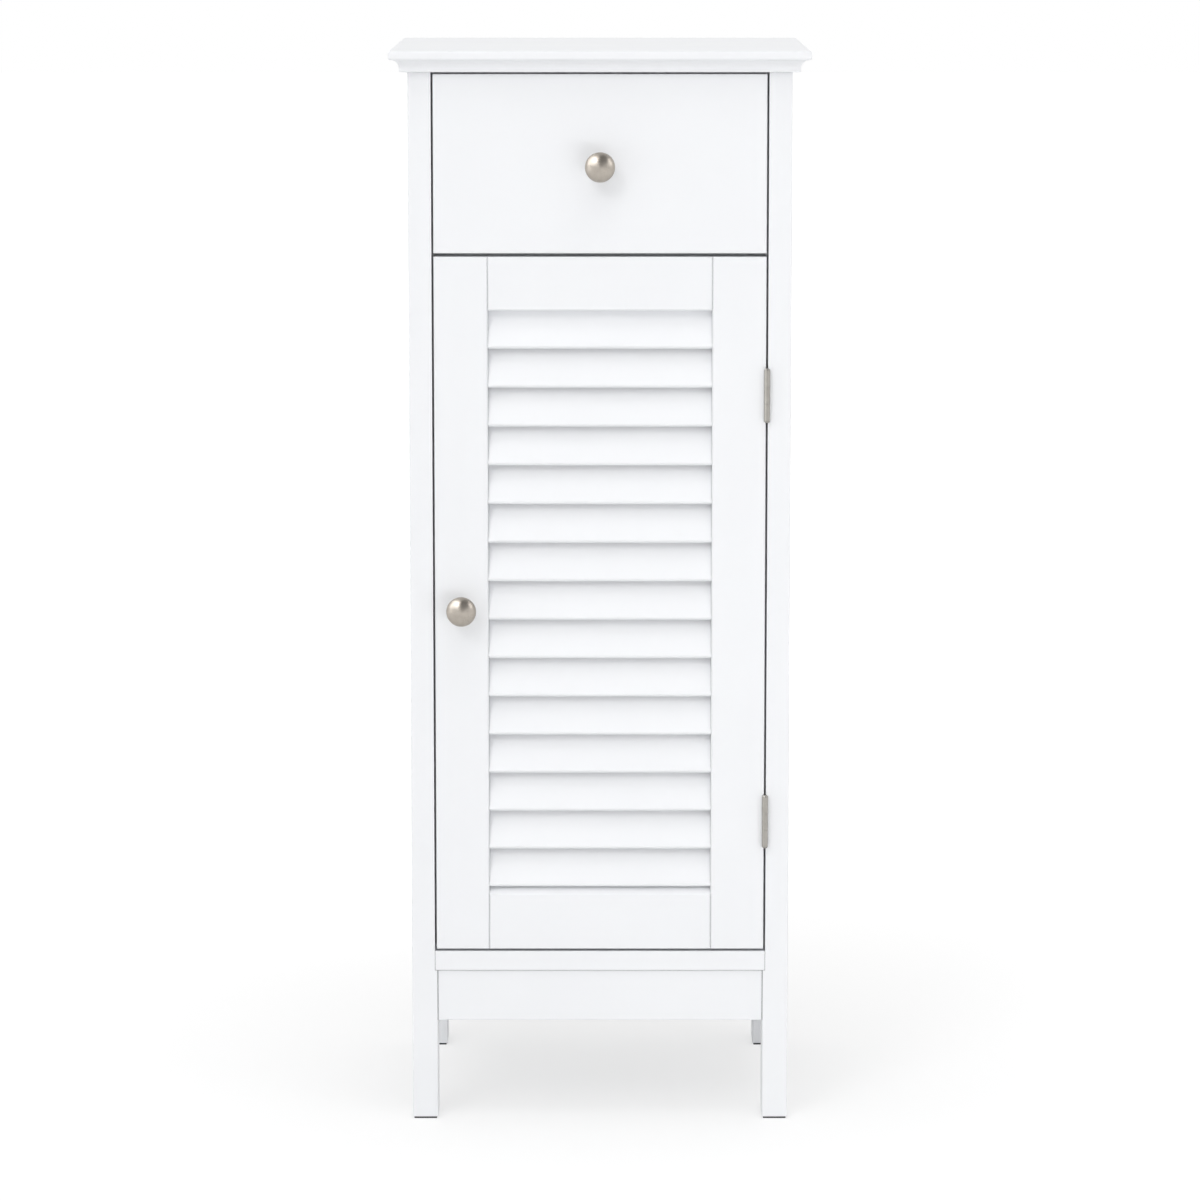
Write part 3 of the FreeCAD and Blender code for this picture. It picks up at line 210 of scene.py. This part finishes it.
def faced_hardboard():
    """Thin board with a printed white face and a faint felt texture."""
    finish, tree, shader = new_finish("faced_hardboard", IOR=1.48)
    place = on_piece(tree)
    fleck = spread(tree, grain(tree, place, 160, 5), 0, 1)
    wire(tree, tinted(tree, fleck, (0.83, 0.84, 0.845), (0.875, 0.885, 0.89)),
         shader.inputs["Base Color"])
    wire(tree, spread(tree, grain(tree, place, 90, 3), 0.5, 0.62), shader.inputs["Roughness"])
    weave = add(tree, "ShaderNodeTexVoronoi", Vector=place, Scale=700.0)
    wire(tree, relief(tree, weave.outputs["Distance"], 0.03 * MM), shader.inputs["Normal"])
    return finish


def planed_beech():
    """Planed beech, with its grain from front to back, as the runners lie."""
    finish, tree, shader = new_finish("planed_beech", IOR=1.45)
    place = on_piece(tree, stretch=(1, 0.06, 1))
    rays = grain(tree, place, 420, 6)
    board = spread(tree, grain(tree, place, 60, 3), 0, 1)
    wood = tinted(tree, board, (0.60, 0.40, 0.24), (0.71, 0.52, 0.34))
    dark = tinted(tree, spread(tree, rays, 0.35, 0), (1, 1, 1), (0.62, 0.5, 0.42))
    shade = add(tree, "ShaderNodeMix", {"data_type": "RGBA", "blend_type": "MULTIPLY"})
    wire(tree, 1.0, shade.inputs[0])
    wire(tree, wood, shade.inputs[6])
    wire(tree, dark, shade.inputs[7])
    wire(tree, shade.outputs[2], shader.inputs["Base Color"])
    wire(tree, spread(tree, rays, 0.5, 0.66), shader.inputs["Roughness"])
    wire(tree, relief(tree, rays, 0.05 * MM), shader.inputs["Normal"])
    return finish


def turned_nickel(name, centre):
    """Satin nickel, spun against a fine belt, so its lines run round the knob's axis."""
    finish, tree, shader = new_finish(name, Metallic=1.0, Anisotropic=0.65,
                                      Anisotropic_Rotation=0.25, IOR=1.5)
    place = on_piece(tree, centre)
    flat = add(tree, "ShaderNodeVectorMath", {"operation": "MULTIPLY"})
    wire(tree, place, flat.inputs[0])
    wire(tree, (1, 0, 1), flat.inputs[1])
    reach = add(tree, "ShaderNodeVectorMath", {"operation": "LENGTH"})
    wire(tree, flat.outputs[0], reach.inputs[0])
    rings = add(tree, "ShaderNodeTexNoise", {"noise_dimensions": "1D"},
                W=reach.outputs["Value"], Scale=5200.0, Detail=3.0).outputs[0]
    cloud = grain(tree, place, 240, 3)
    metal = tinted(tree, spread(tree, cloud, 0, 1), (0.395, 0.358, 0.315), (0.435, 0.397, 0.352))
    wire(tree, metal, shader.inputs["Base Color"])
    wear = sums(tree, "ADD", spread(tree, rings, 0.27, 0.34), spread(tree, cloud, -0.02, 0.03))
    wire(tree, wear, shader.inputs["Roughness"])
    wire(tree, relief(tree, rings, 0.004 * MM), shader.inputs["Normal"])
    tangent = add(tree, "ShaderNodeTangent", {"direction_type": "RADIAL", "axis": "Y"})
    wire(tree, tangent.outputs[0], shader.inputs["Tangent"])
    return finish


def brushed_nickel():
    """Satin nickel of the hinges, brushed lengthwise."""
    finish, tree, shader = new_finish("brushed_nickel", Metallic=1.0, IOR=1.5)
    place = on_piece(tree, stretch=(1, 1, 0.03))
    lines = grain(tree, place, 3600, 3)
    cloud = grain(tree, on_piece(tree), 150, 3)
    metal = tinted(tree, spread(tree, cloud, 0, 1), (0.35, 0.334, 0.308), (0.395, 0.378, 0.35))
    wire(tree, metal, shader.inputs["Base Color"])
    wire(tree, spread(tree, lines, 0.25, 0.35), shader.inputs["Roughness"])
    wire(tree, relief(tree, lines, 0.006 * MM), shader.inputs["Normal"])
    return finish


def zinc_plate():
    """Bright zinc of the screws, cams, pins and strike, with its cloudy passivation."""
    finish, tree, shader = new_finish("zinc_plate", Metallic=1.0, IOR=1.5)
    place = on_piece(tree)
    cloud = grain(tree, place, 330, 4)
    metal = tinted(tree, spread(tree, cloud, 0, 1), (0.56, 0.575, 0.60), (0.66, 0.665, 0.66))
    wire(tree, metal, shader.inputs["Base Color"])
    wire(tree, spread(tree, grain(tree, place, 900, 3), 0.27, 0.42), shader.inputs["Roughness"])
    wire(tree, relief(tree, grain(tree, place, 2400, 2), 0.008 * MM), shader.inputs["Normal"])
    return finish


def moulded_plastic():
    """White moulded plastic of the catch and the drawer stop, with a spark-eroded skin."""
    finish, tree, shader = new_finish("moulded_plastic", IOR=1.49)
    place = on_piece(tree)
    cloud = spread(tree, grain(tree, place, 60, 2), 0, 1)
    wire(tree, tinted(tree, cloud, (0.80, 0.80, 0.78), (0.84, 0.84, 0.82)),
         shader.inputs["Base Color"])
    wire(tree, spread(tree, grain(tree, place, 500, 3), 0.42, 0.55), shader.inputs["Roughness"])
    skin = relief(tree, grain(tree, place, 2200, 3), 0.02 * MM, eased_edges(tree, 0.3 * MM))
    wire(tree, skin, shader.inputs["Normal"])
    return finish


def pressed_ferrite():
    """Dark pressed ferrite, slightly grainy."""
    finish, tree, shader = new_finish("pressed_ferrite", IOR=1.6)
    place = on_piece(tree)
    speck = spread(tree, grain(tree, place, 1500, 4), 0, 1)
    wire(tree, tinted(tree, speck, (0.035, 0.035, 0.037), (0.075, 0.075, 0.078)),
         shader.inputs["Base Color"])
    wire(tree, spread(tree, grain(tree, place, 800, 3), 0.5, 0.7), shader.inputs["Roughness"])
    wire(tree, relief(tree, grain(tree, place, 2600, 3), 0.02 * MM), shader.inputs["Normal"])
    return finish


def glide_rubber():
    """Dark dense rubber under the feet."""
    finish, tree, shader = new_finish("glide_rubber", IOR=1.5)
    place = on_piece(tree)
    speck = spread(tree, grain(tree, place, 700, 4), 0, 1)
    wire(tree, tinted(tree, speck, (0.03, 0.03, 0.03), (0.06, 0.06, 0.058)),
         shader.inputs["Base Color"])
    wire(tree, spread(tree, grain(tree, place, 400, 3), 0.7, 0.85), shader.inputs["Roughness"])
    wire(tree, relief(tree, grain(tree, place, 1600, 3), 0.04 * MM), shader.inputs["Normal"])
    return finish


# ------------------------------------------------------------------ modelling

def only(piece):
    """Select one piece and nothing else."""
    bpy.ops.object.select_all(action="DESELECT")
    piece.hide_set(False)
    piece.select_set(True)
    bpy.context.view_layer.objects.active = piece


def apply_modifier(piece, kind, **settings):
    """Give a piece a modifier and make it part of its mesh."""
    only(piece)
    modifier = piece.modifiers.new(kind.title(), kind)
    for name, setting in settings.items():
        setattr(modifier, name, setting)
    bpy.ops.object.modifier_apply(modifier=modifier.name)


def turned(name, profile):
    """A piece turned on the lathe about +Z from (radius, height) steps, shut at both ends."""
    bpy.ops.object.select_all(action="DESELECT")
    radius, height = profile[0]
    bpy.ops.mesh.primitive_circle_add(vertices=SIDES, radius=radius, location=(0, 0, height))
    piece = bpy.context.active_object
    piece.name = name
    bpy.ops.object.transform_apply(location=True)
    bpy.ops.object.mode_set(mode="EDIT")
    bpy.ops.mesh.select_all(action="SELECT")
    bpy.ops.mesh.extrude_region_move()
    bpy.ops.mesh.merge(type="CENTER")
    mesh = bmesh.from_edit_mesh(piece.data)
    for vert in mesh.verts:
        vert.select_set(len(vert.link_edges) < 5)
    mesh.select_flush_mode()
    for step, climb in profile[1:]:
        lift = {"value": (0, 0, climb - height)}
        bpy.ops.mesh.extrude_region_move(TRANSFORM_OT_translate=lift)
        size = step / radius
        bpy.ops.transform.resize(value=(size, size, 1), center_override=(0, 0, climb))
        radius, height = step, climb
    bpy.ops.mesh.extrude_region_move()
    bpy.ops.mesh.merge(type="CENTER")
    bpy.ops.mesh.select_all(action="SELECT")
    bpy.ops.mesh.normals_make_consistent(inside=False)
    bpy.ops.object.mode_set(mode="OBJECT")
    return piece


def shaded(piece, degrees=30):
    """Shade a piece smooth, apart from its sharp edges."""
    only(piece)
    bpy.ops.object.shade_smooth_by_angle(angle=math.radians(degrees))
    return piece


def crossed(piece, width, depth, reach):
    """Press a cross recess for the driver into the end of a screw that lies at z = 0."""
    for turn in (0, math.pi / 2):
        bpy.ops.object.select_all(action="DESELECT")
        bpy.ops.mesh.primitive_cube_add(size=1, location=(0, 0, 0), rotation=(0, 0, turn))
        blade = bpy.context.active_object
        blade.scale = (reach, width, 2 * depth)
        bpy.ops.object.transform_apply(location=True, rotation=True, scale=True)
        bpy.ops.object.mode_set(mode="EDIT")
        mesh = bmesh.from_edit_mesh(blade.data)
        for face in mesh.faces:
            face.select_set(face.normal.z > 0.9)
        bpy.ops.transform.resize(value=(0.45, 0.45, 1), center_override=(0, 0, depth))
        bpy.ops.object.mode_set(mode="OBJECT")
        apply_modifier(piece, "BOOLEAN", operation="DIFFERENCE", object=blade, solver="EXACT")
        bpy.data.objects.remove(blade)
    return piece


def set_at(pattern, name, places):
    """Copies of a pattern piece, each with its +Z turned to a direction, as one piece."""
    copies = []
    for place, way in places:
        piece = bpy.data.objects.new(name, pattern.data.copy())
        bpy.context.scene.collection.objects.link(piece)
        turn = way.to_track_quat("Z", "Y").to_matrix().to_4x4()
        piece.matrix_world = Matrix.Translation(place) @ turn
        copies.append(piece)
    bpy.ops.object.select_all(action="DESELECT")
    for piece in copies:
        piece.select_set(True)
    bpy.context.view_layer.objects.active = copies[0]
    bpy.ops.object.transform_apply(location=True, rotation=True, scale=True)
    if len(copies) > 1:
        bpy.ops.object.join()
    piece = bpy.context.active_object
    piece.name = name
    return piece


def worked(node, name, width):
    """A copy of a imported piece, with its loose triangles joined and its arrises eased."""
    piece = bpy.data.objects.new(name, frame["nodes"][node].data.copy())
    bpy.context.scene.collection.objects.link(piece)
    only(piece)
    bpy.ops.object.mode_set(mode="EDIT")
    bpy.ops.mesh.select_all(action="SELECT")
    bpy.ops.mesh.remove_doubles(threshold=0.002 * MM)
    bpy.ops.mesh.dissolve_limited(angle_limit=math.radians(0.5))
    bpy.ops.object.mode_set(mode="OBJECT")
    apply_modifier(piece, "BEVEL", width=width, segments=3, limit_method="ANGLE",
                   angle_limit=math.radians(40), use_clamp_overlap=True)
    shaded(piece)
    apply_modifier(piece, "WEIGHTED_NORMAL", keep_sharp=True)
    return piece


def finish_piece(piece, finishes, body, slot, *nodes):
    """Give a piece its finish, let it ride on its body, and let it stand for its nodes."""
    piece.data.materials.clear()
    for finish in finishes:
        piece.data.materials.append(finish)
    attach(piece, body)
    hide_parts(*nodes)


def reworked(node, name, width, finish, body, slot):
    """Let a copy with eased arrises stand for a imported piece."""
    finish_piece(worked(node, name, width), [finish], body, slot, node)


def arc(wide, high, centre, first, last, count):
    """Steps (radius, height) along an oval arc about a centre, between two angles in degrees."""
    steps = []
    for number in range(count + 1):
        angle = math.radians(first + (last - first) * number / count)
        steps.append((centre[0] + wide * math.cos(angle), centre[1] + high * math.sin(angle)))
    return steps


def turned_pattern(name, steps):
    """A turned piece from (radius, height) steps in millimetres."""
    return turned(name, [(radius * MM, height * MM) for radius, height in steps])


def middle_behind(node):
    """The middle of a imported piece's face to the rear."""
    low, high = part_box(node)
    return Vector(((low.x + high.x) / 2, high.y, (low.z + high.z) / 2))


# ------------------------------------------------------------------ pieces

def knob_pattern():
    """Round knob: bored foot, hollow-curved neck, and a head rounded over and under its rim."""
    bore, foot, neck, rim = 2.05, 6.5, 4.25, 12.0
    top, crown, under, roll = 24.0, 6.6, 2.4, 2.2
    flare = 2.2
    steps = [(0.6, 11.0), (bore, 11.0), (bore, 0.25), (bore + 0.25, 0.0)]
    steps += [(foot - 0.3, 0.0), (foot, 0.3), (foot, 1.2), (foot - 0.3, 1.5)]
    steps += arc(flare, flare, (neck + flare, 4.0), 250, 180, 8)
    steps += [(neck, 9.0), (neck + 0.5, 10.4), (5.9, 12.2), (7.8, 13.8)]
    steps += arc(roll, under, (rim - roll, top - crown), -80, -8, 7)
    steps += arc(rim, crown, (0, top - crown), 0, 88.8, 22)
    return shaded(turned_pattern("knob_pattern", steps), 32)


def knobs():
    """One knob on the door and one on the drawer, both turned from the same pattern."""
    pattern = knob_pattern()
    for panel in ("door", "drawer"):
        centre = middle_behind(f"{panel}_knob")
        knob = set_at(pattern, f"{panel}_turned_knob", [(centre, TO_FRONT)])
        finish_piece(knob, [turned_nickel(f"spun_nickel_{panel}", centre)], panel,
                     "satin_nickel", f"{panel}_knob")
    bpy.data.objects.remove(pattern)


def knob_screws(zinc):
    """Pan-head screws that hold the knobs, driven from the inside."""
    head, shank = 4.25, 2.0
    steps = [(0.5, 0.0), (1.6, 0.02), (2.6, 0.12), (3.4, 0.42), (3.95, 0.95), (head, 1.55)]
    steps += [(head, 2.05), (head - 0.15, 2.2), (shank + 0.1, 2.2), (shank, 2.3), (shank, 29.7)]
    steps += [(shank - 0.45, 30.2)]
    pattern = turned_pattern("knob_screw_pattern", steps)
    shaded(crossed(pattern, 0.85 * MM, 1.3 * MM, 4.2 * MM))
    for panel in ("door", "drawer"):
        centre = middle_behind(f"{panel}_knob_screw")
        screw = set_at(pattern, f"{panel}_pan_head_screw", [(centre, TO_FRONT)])
        finish_piece(screw, [zinc], panel, "zinc_steel", f"{panel}_knob_screw")
    bpy.data.objects.remove(pattern)


def wood_screw_pattern():
    """Countersunk wood screw with a coarse thread and a cross recess."""
    head, shank, pitch = 2.8, 1.5, 1.1
    steps = [(0.4, 0.0), (head - 0.12, 0.0), (head, 0.08), (head, 0.2), (shank, 1.5)]
    for turn in range(10):
        steps += [(shank, 2.3 + turn * pitch), (shank - 0.32, 2.85 + turn * pitch)]
    steps += [(shank - 0.2, 13.6), (0.5, 15.6), (0.15, 16.0)]
    pattern = turned_pattern("wood_screw_pattern", steps)
    return shaded(crossed(pattern, 0.6 * MM, 0.9 * MM, 2.9 * MM))


def hinge_screw_places(way):
    """Two in each leaf of both hinges, driven to the right (1) or to the left (-1)."""
    leaf_gap, leaf_end, spacing, setback = 0.15 * MM, 8.5 * MM, 24 * MM, 8 * MM
    across = middle_behind("hinge_pins").x + way * leaf_gap
    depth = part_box("door_stile_right")[0].y + setback
    foot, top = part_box("hinge_frame_leaves")
    levels = (top.z - leaf_end - spacing, top.z - leaf_end,
              foot.z + leaf_end, foot.z + leaf_end + spacing)
    return [(Vector((across, depth, level)), way * TO_RIGHT) for level in levels]


def catch_screw_places():
    """Two up through the flange of the catch into the divider."""
    flange, flange_middle, spacing = 3 * MM, 5.25 * MM, 31 * MM
    low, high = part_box("catch_case")
    depth, level = high.y - flange_middle, high.z - flange
    return [(Vector(((low.x + high.x + way * spacing) / 2, depth, level)), UP)
            for way in (-1, 1)]


def back_screw_places():
    """Four through the back, into the bottom board and the divider."""
    spacing = 140 * MM
    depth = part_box("back_panel")[1].y
    return [(Vector((way * spacing / 2, depth, middle_behind(board).z)), TO_FRONT)
            for way in (-1, 1) for board in ("bottom_panel", "divider_panel")]


def runner_screw_places():
    """Two through each drawer runner into its side panel."""
    low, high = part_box("runner_right")
    depths = (low.y + 30 * MM, high.y - 38 * MM)
    level = (low.z + high.z) / 2
    return [(Vector((way * low.x, depth, level)), way * TO_RIGHT)
            for way in (-1, 1) for depth in depths]


def wood_screws(zinc):
    """Small countersunk screws of the hinges, catch, strike, runners and back."""
    cabinet = (hinge_screw_places(1) + catch_screw_places() + back_screw_places()
               + runner_screw_places())
    door = hinge_screw_places(-1) + [(middle_behind("strike_plate"), TO_FRONT)]
    pattern = wood_screw_pattern()
    for body, places in (("cabinet", cabinet), ("door", door)):
        screws = set_at(pattern, f"{body}_wood_screws", places)
        finish_piece(screws, [zinc], body, "zinc_steel", f"{body}_screws")
    bpy.data.objects.remove(pattern)


def hinges(nickel):
    """Butt hinges with eased knuckles, and their domed pins."""
    reworked("hinge_frame_leaves", "frame_hinge_leaves", 0.16 * MM, nickel,
             "cabinet", "satin_nickel")
    reworked("hinge_door_leaves", "door_hinge_leaves", 0.16 * MM, nickel,
             "door", "satin_nickel")
    reworked("hinge_pins", "hinge_domed_pins", 0.1 * MM, nickel, "cabinet", "satin_nickel")


def catch(plastic, ferrite, zinc):
    """Magnetic catch with its magnet between two steel cheeks, and its strike plate."""
    reworked("catch_case", "catch_body", 0.45 * MM, plastic, "cabinet", "white_plastic")
    low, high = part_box("catch_magnet")
    bpy.ops.object.select_all(action="DESELECT")
    bpy.ops.mesh.primitive_cube_add(size=1, location=(low + high) / 2)
    magnet = bpy.context.active_object
    magnet.name = "catch_magnet_core"
    magnet.scale = high - low
    bpy.ops.object.transform_apply(location=True, rotation=True, scale=True)
    bpy.ops.object.mode_set(mode="EDIT")
    cheek = 1.2 * MM
    core_foot, core_top = low.z + cheek, high.z - cheek
    for level in (core_foot, core_top):
        bpy.ops.mesh.select_all(action="SELECT")
        bpy.ops.mesh.bisect(plane_co=(0, 0, level), plane_no=(0, 0, 1))
    mesh = bmesh.from_edit_mesh(magnet.data)
    for face in mesh.faces:
        middle = face.calc_center_median()
        face.material_index = 0 if core_foot < middle.z < core_top else 1
        face.select_set(face.normal.y < -0.9 and face.material_index == 0)
    bpy.ops.mesh.inset(thickness=0.05 * MM)
    bpy.ops.transform.translate(value=(0, 0.35 * MM, 0))
    bpy.ops.object.mode_set(mode="OBJECT")
    apply_modifier(magnet, "BEVEL", width=0.12 * MM, segments=2, limit_method="ANGLE",
                   angle_limit=math.radians(60))
    finish_piece(shaded(magnet), [ferrite, zinc], "cabinet", "ferrite", "catch_magnet")
    reworked("strike_plate", "strike_flat", 0.2 * MM, zinc, "door", "zinc_steel")


def small_hardware(zinc, plastic):
    """Shelf pins, cam locks and the drawer stop, with their arrises eased."""
    reworked("shelf_pins", "shelf_support_pins", 0.4 * MM, zinc, "cabinet", "zinc_steel")
    reworked("cam_locks", "cam_drums", 0.3 * MM, zinc, "cabinet", "zinc_steel")
    reworked("drawer_stop", "drawer_stop_block", 0.8 * MM, plastic, "drawer", "white_plastic")


def boards_and_fittings(finishes):
    """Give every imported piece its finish, by its slot in the record."""
    for part in frame["record"]["subparts"]:
        mesh = frame["nodes"][part["node"]].data
        mesh.materials.clear()
        mesh.materials.append(finishes[part["material_slot"]])


# ------------------------------------------------------------------ floor, light and camera

def seen(tree):
    """One where the camera, a gloss or a glass looks, and nought for the light itself."""
    path = tree.nodes.new("ShaderNodeLightPath")
    either = sums(tree, "MAXIMUM", path.outputs["Is Camera Ray"], path.outputs["Is Glossy Ray"])
    return sums(tree, "MAXIMUM", either, path.outputs["Is Transmission Ray"])


def floor():
    """A pale floor that shows white and keeps the shadow of the cabinet."""
    bpy.ops.object.select_all(action="DESELECT")
    bpy.ops.mesh.primitive_plane_add(size=40, location=(0, 0, -0.05 * MM))
    ground = bpy.context.active_object
    ground.name = "studio_floor"
    finish = bpy.data.materials.new("pale_floor")
    finish.use_nodes = True
    tree = finish.node_tree
    tree.nodes.clear()
    paint = add(tree, "ShaderNodeBsdfDiffuse", Color=(FLOOR_PAINT,) * 3 + (1,))
    shown = add(tree, "ShaderNodeBsdfDiffuse", Color=(FLOOR_SHOWN,) * 3 + (1,))
    away = add(tree, "ShaderNodeVectorMath", {"operation": "LENGTH"})
    wire(tree, on_piece(tree), away.inputs[0])
    paler = add(tree, "ShaderNodeMapRange", Value=sums(tree, "SQRT", away.outputs["Value"]),
                From_Min=GLOW_REACH[0], From_Max=GLOW_REACH[1], To_Min=GLOW_NEAR, To_Max=GLOW_FAR)
    glow = add(tree, "ShaderNodeEmission", Color=(1, 1, 1, 1), Strength=paler.outputs[0])
    both = tree.nodes.new("ShaderNodeAddShader")
    wire(tree, shown.outputs[0], both.inputs[0])
    wire(tree, glow.outputs[0], both.inputs[1])
    mix = tree.nodes.new("ShaderNodeMixShader")
    wire(tree, seen(tree), mix.inputs[0])
    wire(tree, paint.outputs[0], mix.inputs[1])
    wire(tree, both.outputs[0], mix.inputs[2])
    output = tree.nodes.new("ShaderNodeOutputMaterial")
    wire(tree, mix.outputs[0], output.inputs["Surface"])
    ground.data.materials.append(finish)


def toward(tree, way):
    """How far a direction in the surroundings lies along the given one."""
    near = add(tree, "ShaderNodeVectorMath", {"operation": "DOT_PRODUCT"})
    wire(tree, tree.nodes.new("ShaderNodeTexCoord").outputs["Generated"], near.inputs[0])
    wire(tree, tuple(way), near.inputs[1])
    return near.outputs["Value"]


def studio():
    """White surroundings with a dim fan overhead that only gloss shows, and the soft lamps."""
    world = bpy.data.worlds.new("studio")
    bpy.context.scene.world = world
    world.use_nodes = True
    tree = world.node_tree
    tree.nodes.clear()
    across = Vector((math.cos(FAN_TURN), 0, -math.sin(FAN_TURN)))
    along = Vector((math.cos(FAN_TILT) * math.sin(FAN_TURN), math.sin(FAN_TILT),
                    math.cos(FAN_TILT) * math.cos(FAN_TURN)))
    aside = add(tree, "ShaderNodeCombineXYZ", X=toward(tree, across / FAN_WIDTH),
                Y=toward(tree, along / FAN_LENGTH))
    reach = add(tree, "ShaderNodeVectorMath", {"operation": "LENGTH"})
    wire(tree, aside.outputs[0], reach.inputs[0])
    dim = add(tree, "ShaderNodeMapRange", {"interpolation_type": "SMOOTHSTEP"},
              Value=reach.outputs["Value"], From_Min=FAN_EDGE[0], From_Max=FAN_EDGE[1],
              To_Min=FAN_DIMMING, To_Max=0)
    gloss = tree.nodes.new("ShaderNodeLightPath").outputs["Is Glossy Ray"]
    shown = sums(tree, "SUBTRACT", 1.0, sums(tree, "MULTIPLY", gloss, dim.outputs[0]))
    backdrop = add(tree, "ShaderNodeBackground", Color=(1, 1, 1, 1), Strength=shown)
    light = add(tree, "ShaderNodeBackground", Color=(1, 1, 1, 1), Strength=SKY_LIGHT)
    mix = tree.nodes.new("ShaderNodeMixShader")
    wire(tree, seen(tree), mix.inputs[0])
    wire(tree, light.outputs[0], mix.inputs[1])
    wire(tree, backdrop.outputs[0], mix.inputs[2])
    output = tree.nodes.new("ShaderNodeOutputWorld")
    wire(tree, mix.outputs[0], output.inputs["Surface"])
    for name, settings in SOFTBOXES.items():
        softbox(name, *settings)


def softbox(name, place, size, power, mirrored, lighting):
    """A soft lamp aimed at the middle of the cabinet: mirrored in gloss, lighting, or both."""
    lamp = bpy.data.lights.new(name, "AREA")
    lamp.shape = "RECTANGLE"
    lamp.size, lamp.size_y = size
    lamp.energy = power
    box = bpy.data.objects.new(name, lamp)
    bpy.context.scene.collection.objects.link(box)
    box.location = place
    box.visible_glossy = mirrored
    box.visible_diffuse = lighting
    box.rotation_euler = (MIDDLE - Vector(place)).to_track_quat("-Z", "Y").to_euler()


def camera():
    """A long lens a little above the top board, tipped down."""
    lens = bpy.data.cameras.new("studio_camera")
    lens.sensor_width = 36
    lens.lens = 143.5
    lens.shift_y = -0.02
    lens.clip_end = 60
    viewer = bpy.data.objects.new("studio_camera", lens)
    bpy.context.scene.collection.objects.link(viewer)
    viewer.location = CAMERA_PLACE
    viewer.rotation_euler = (math.radians(90 - CAMERA_TIP), 0, 0)
    bpy.context.scene.camera = viewer


# ------------------------------------------------------------------ the cabinet

nickel = brushed_nickel()
zinc = zinc_plate()
plastic = moulded_plastic()
ferrite = pressed_ferrite()
boards_and_fittings({
    "white_paint": white_lacquer(),
    "white_hardboard": faced_hardboard(),
    "beech": planed_beech(),
    "satin_nickel": nickel,
    "zinc_steel": zinc,
    "white_plastic": plastic,
    "ferrite": ferrite,
    "dark_rubber": glide_rubber(),
})
knobs()
knob_screws(zinc)
wood_screws(zinc)
hinges(nickel)
catch(plastic, ferrite, zinc)
small_hardware(zinc, plastic)
floor()
studio()
camera()
bpy.context.scene.view_settings.view_transform = "Standard"
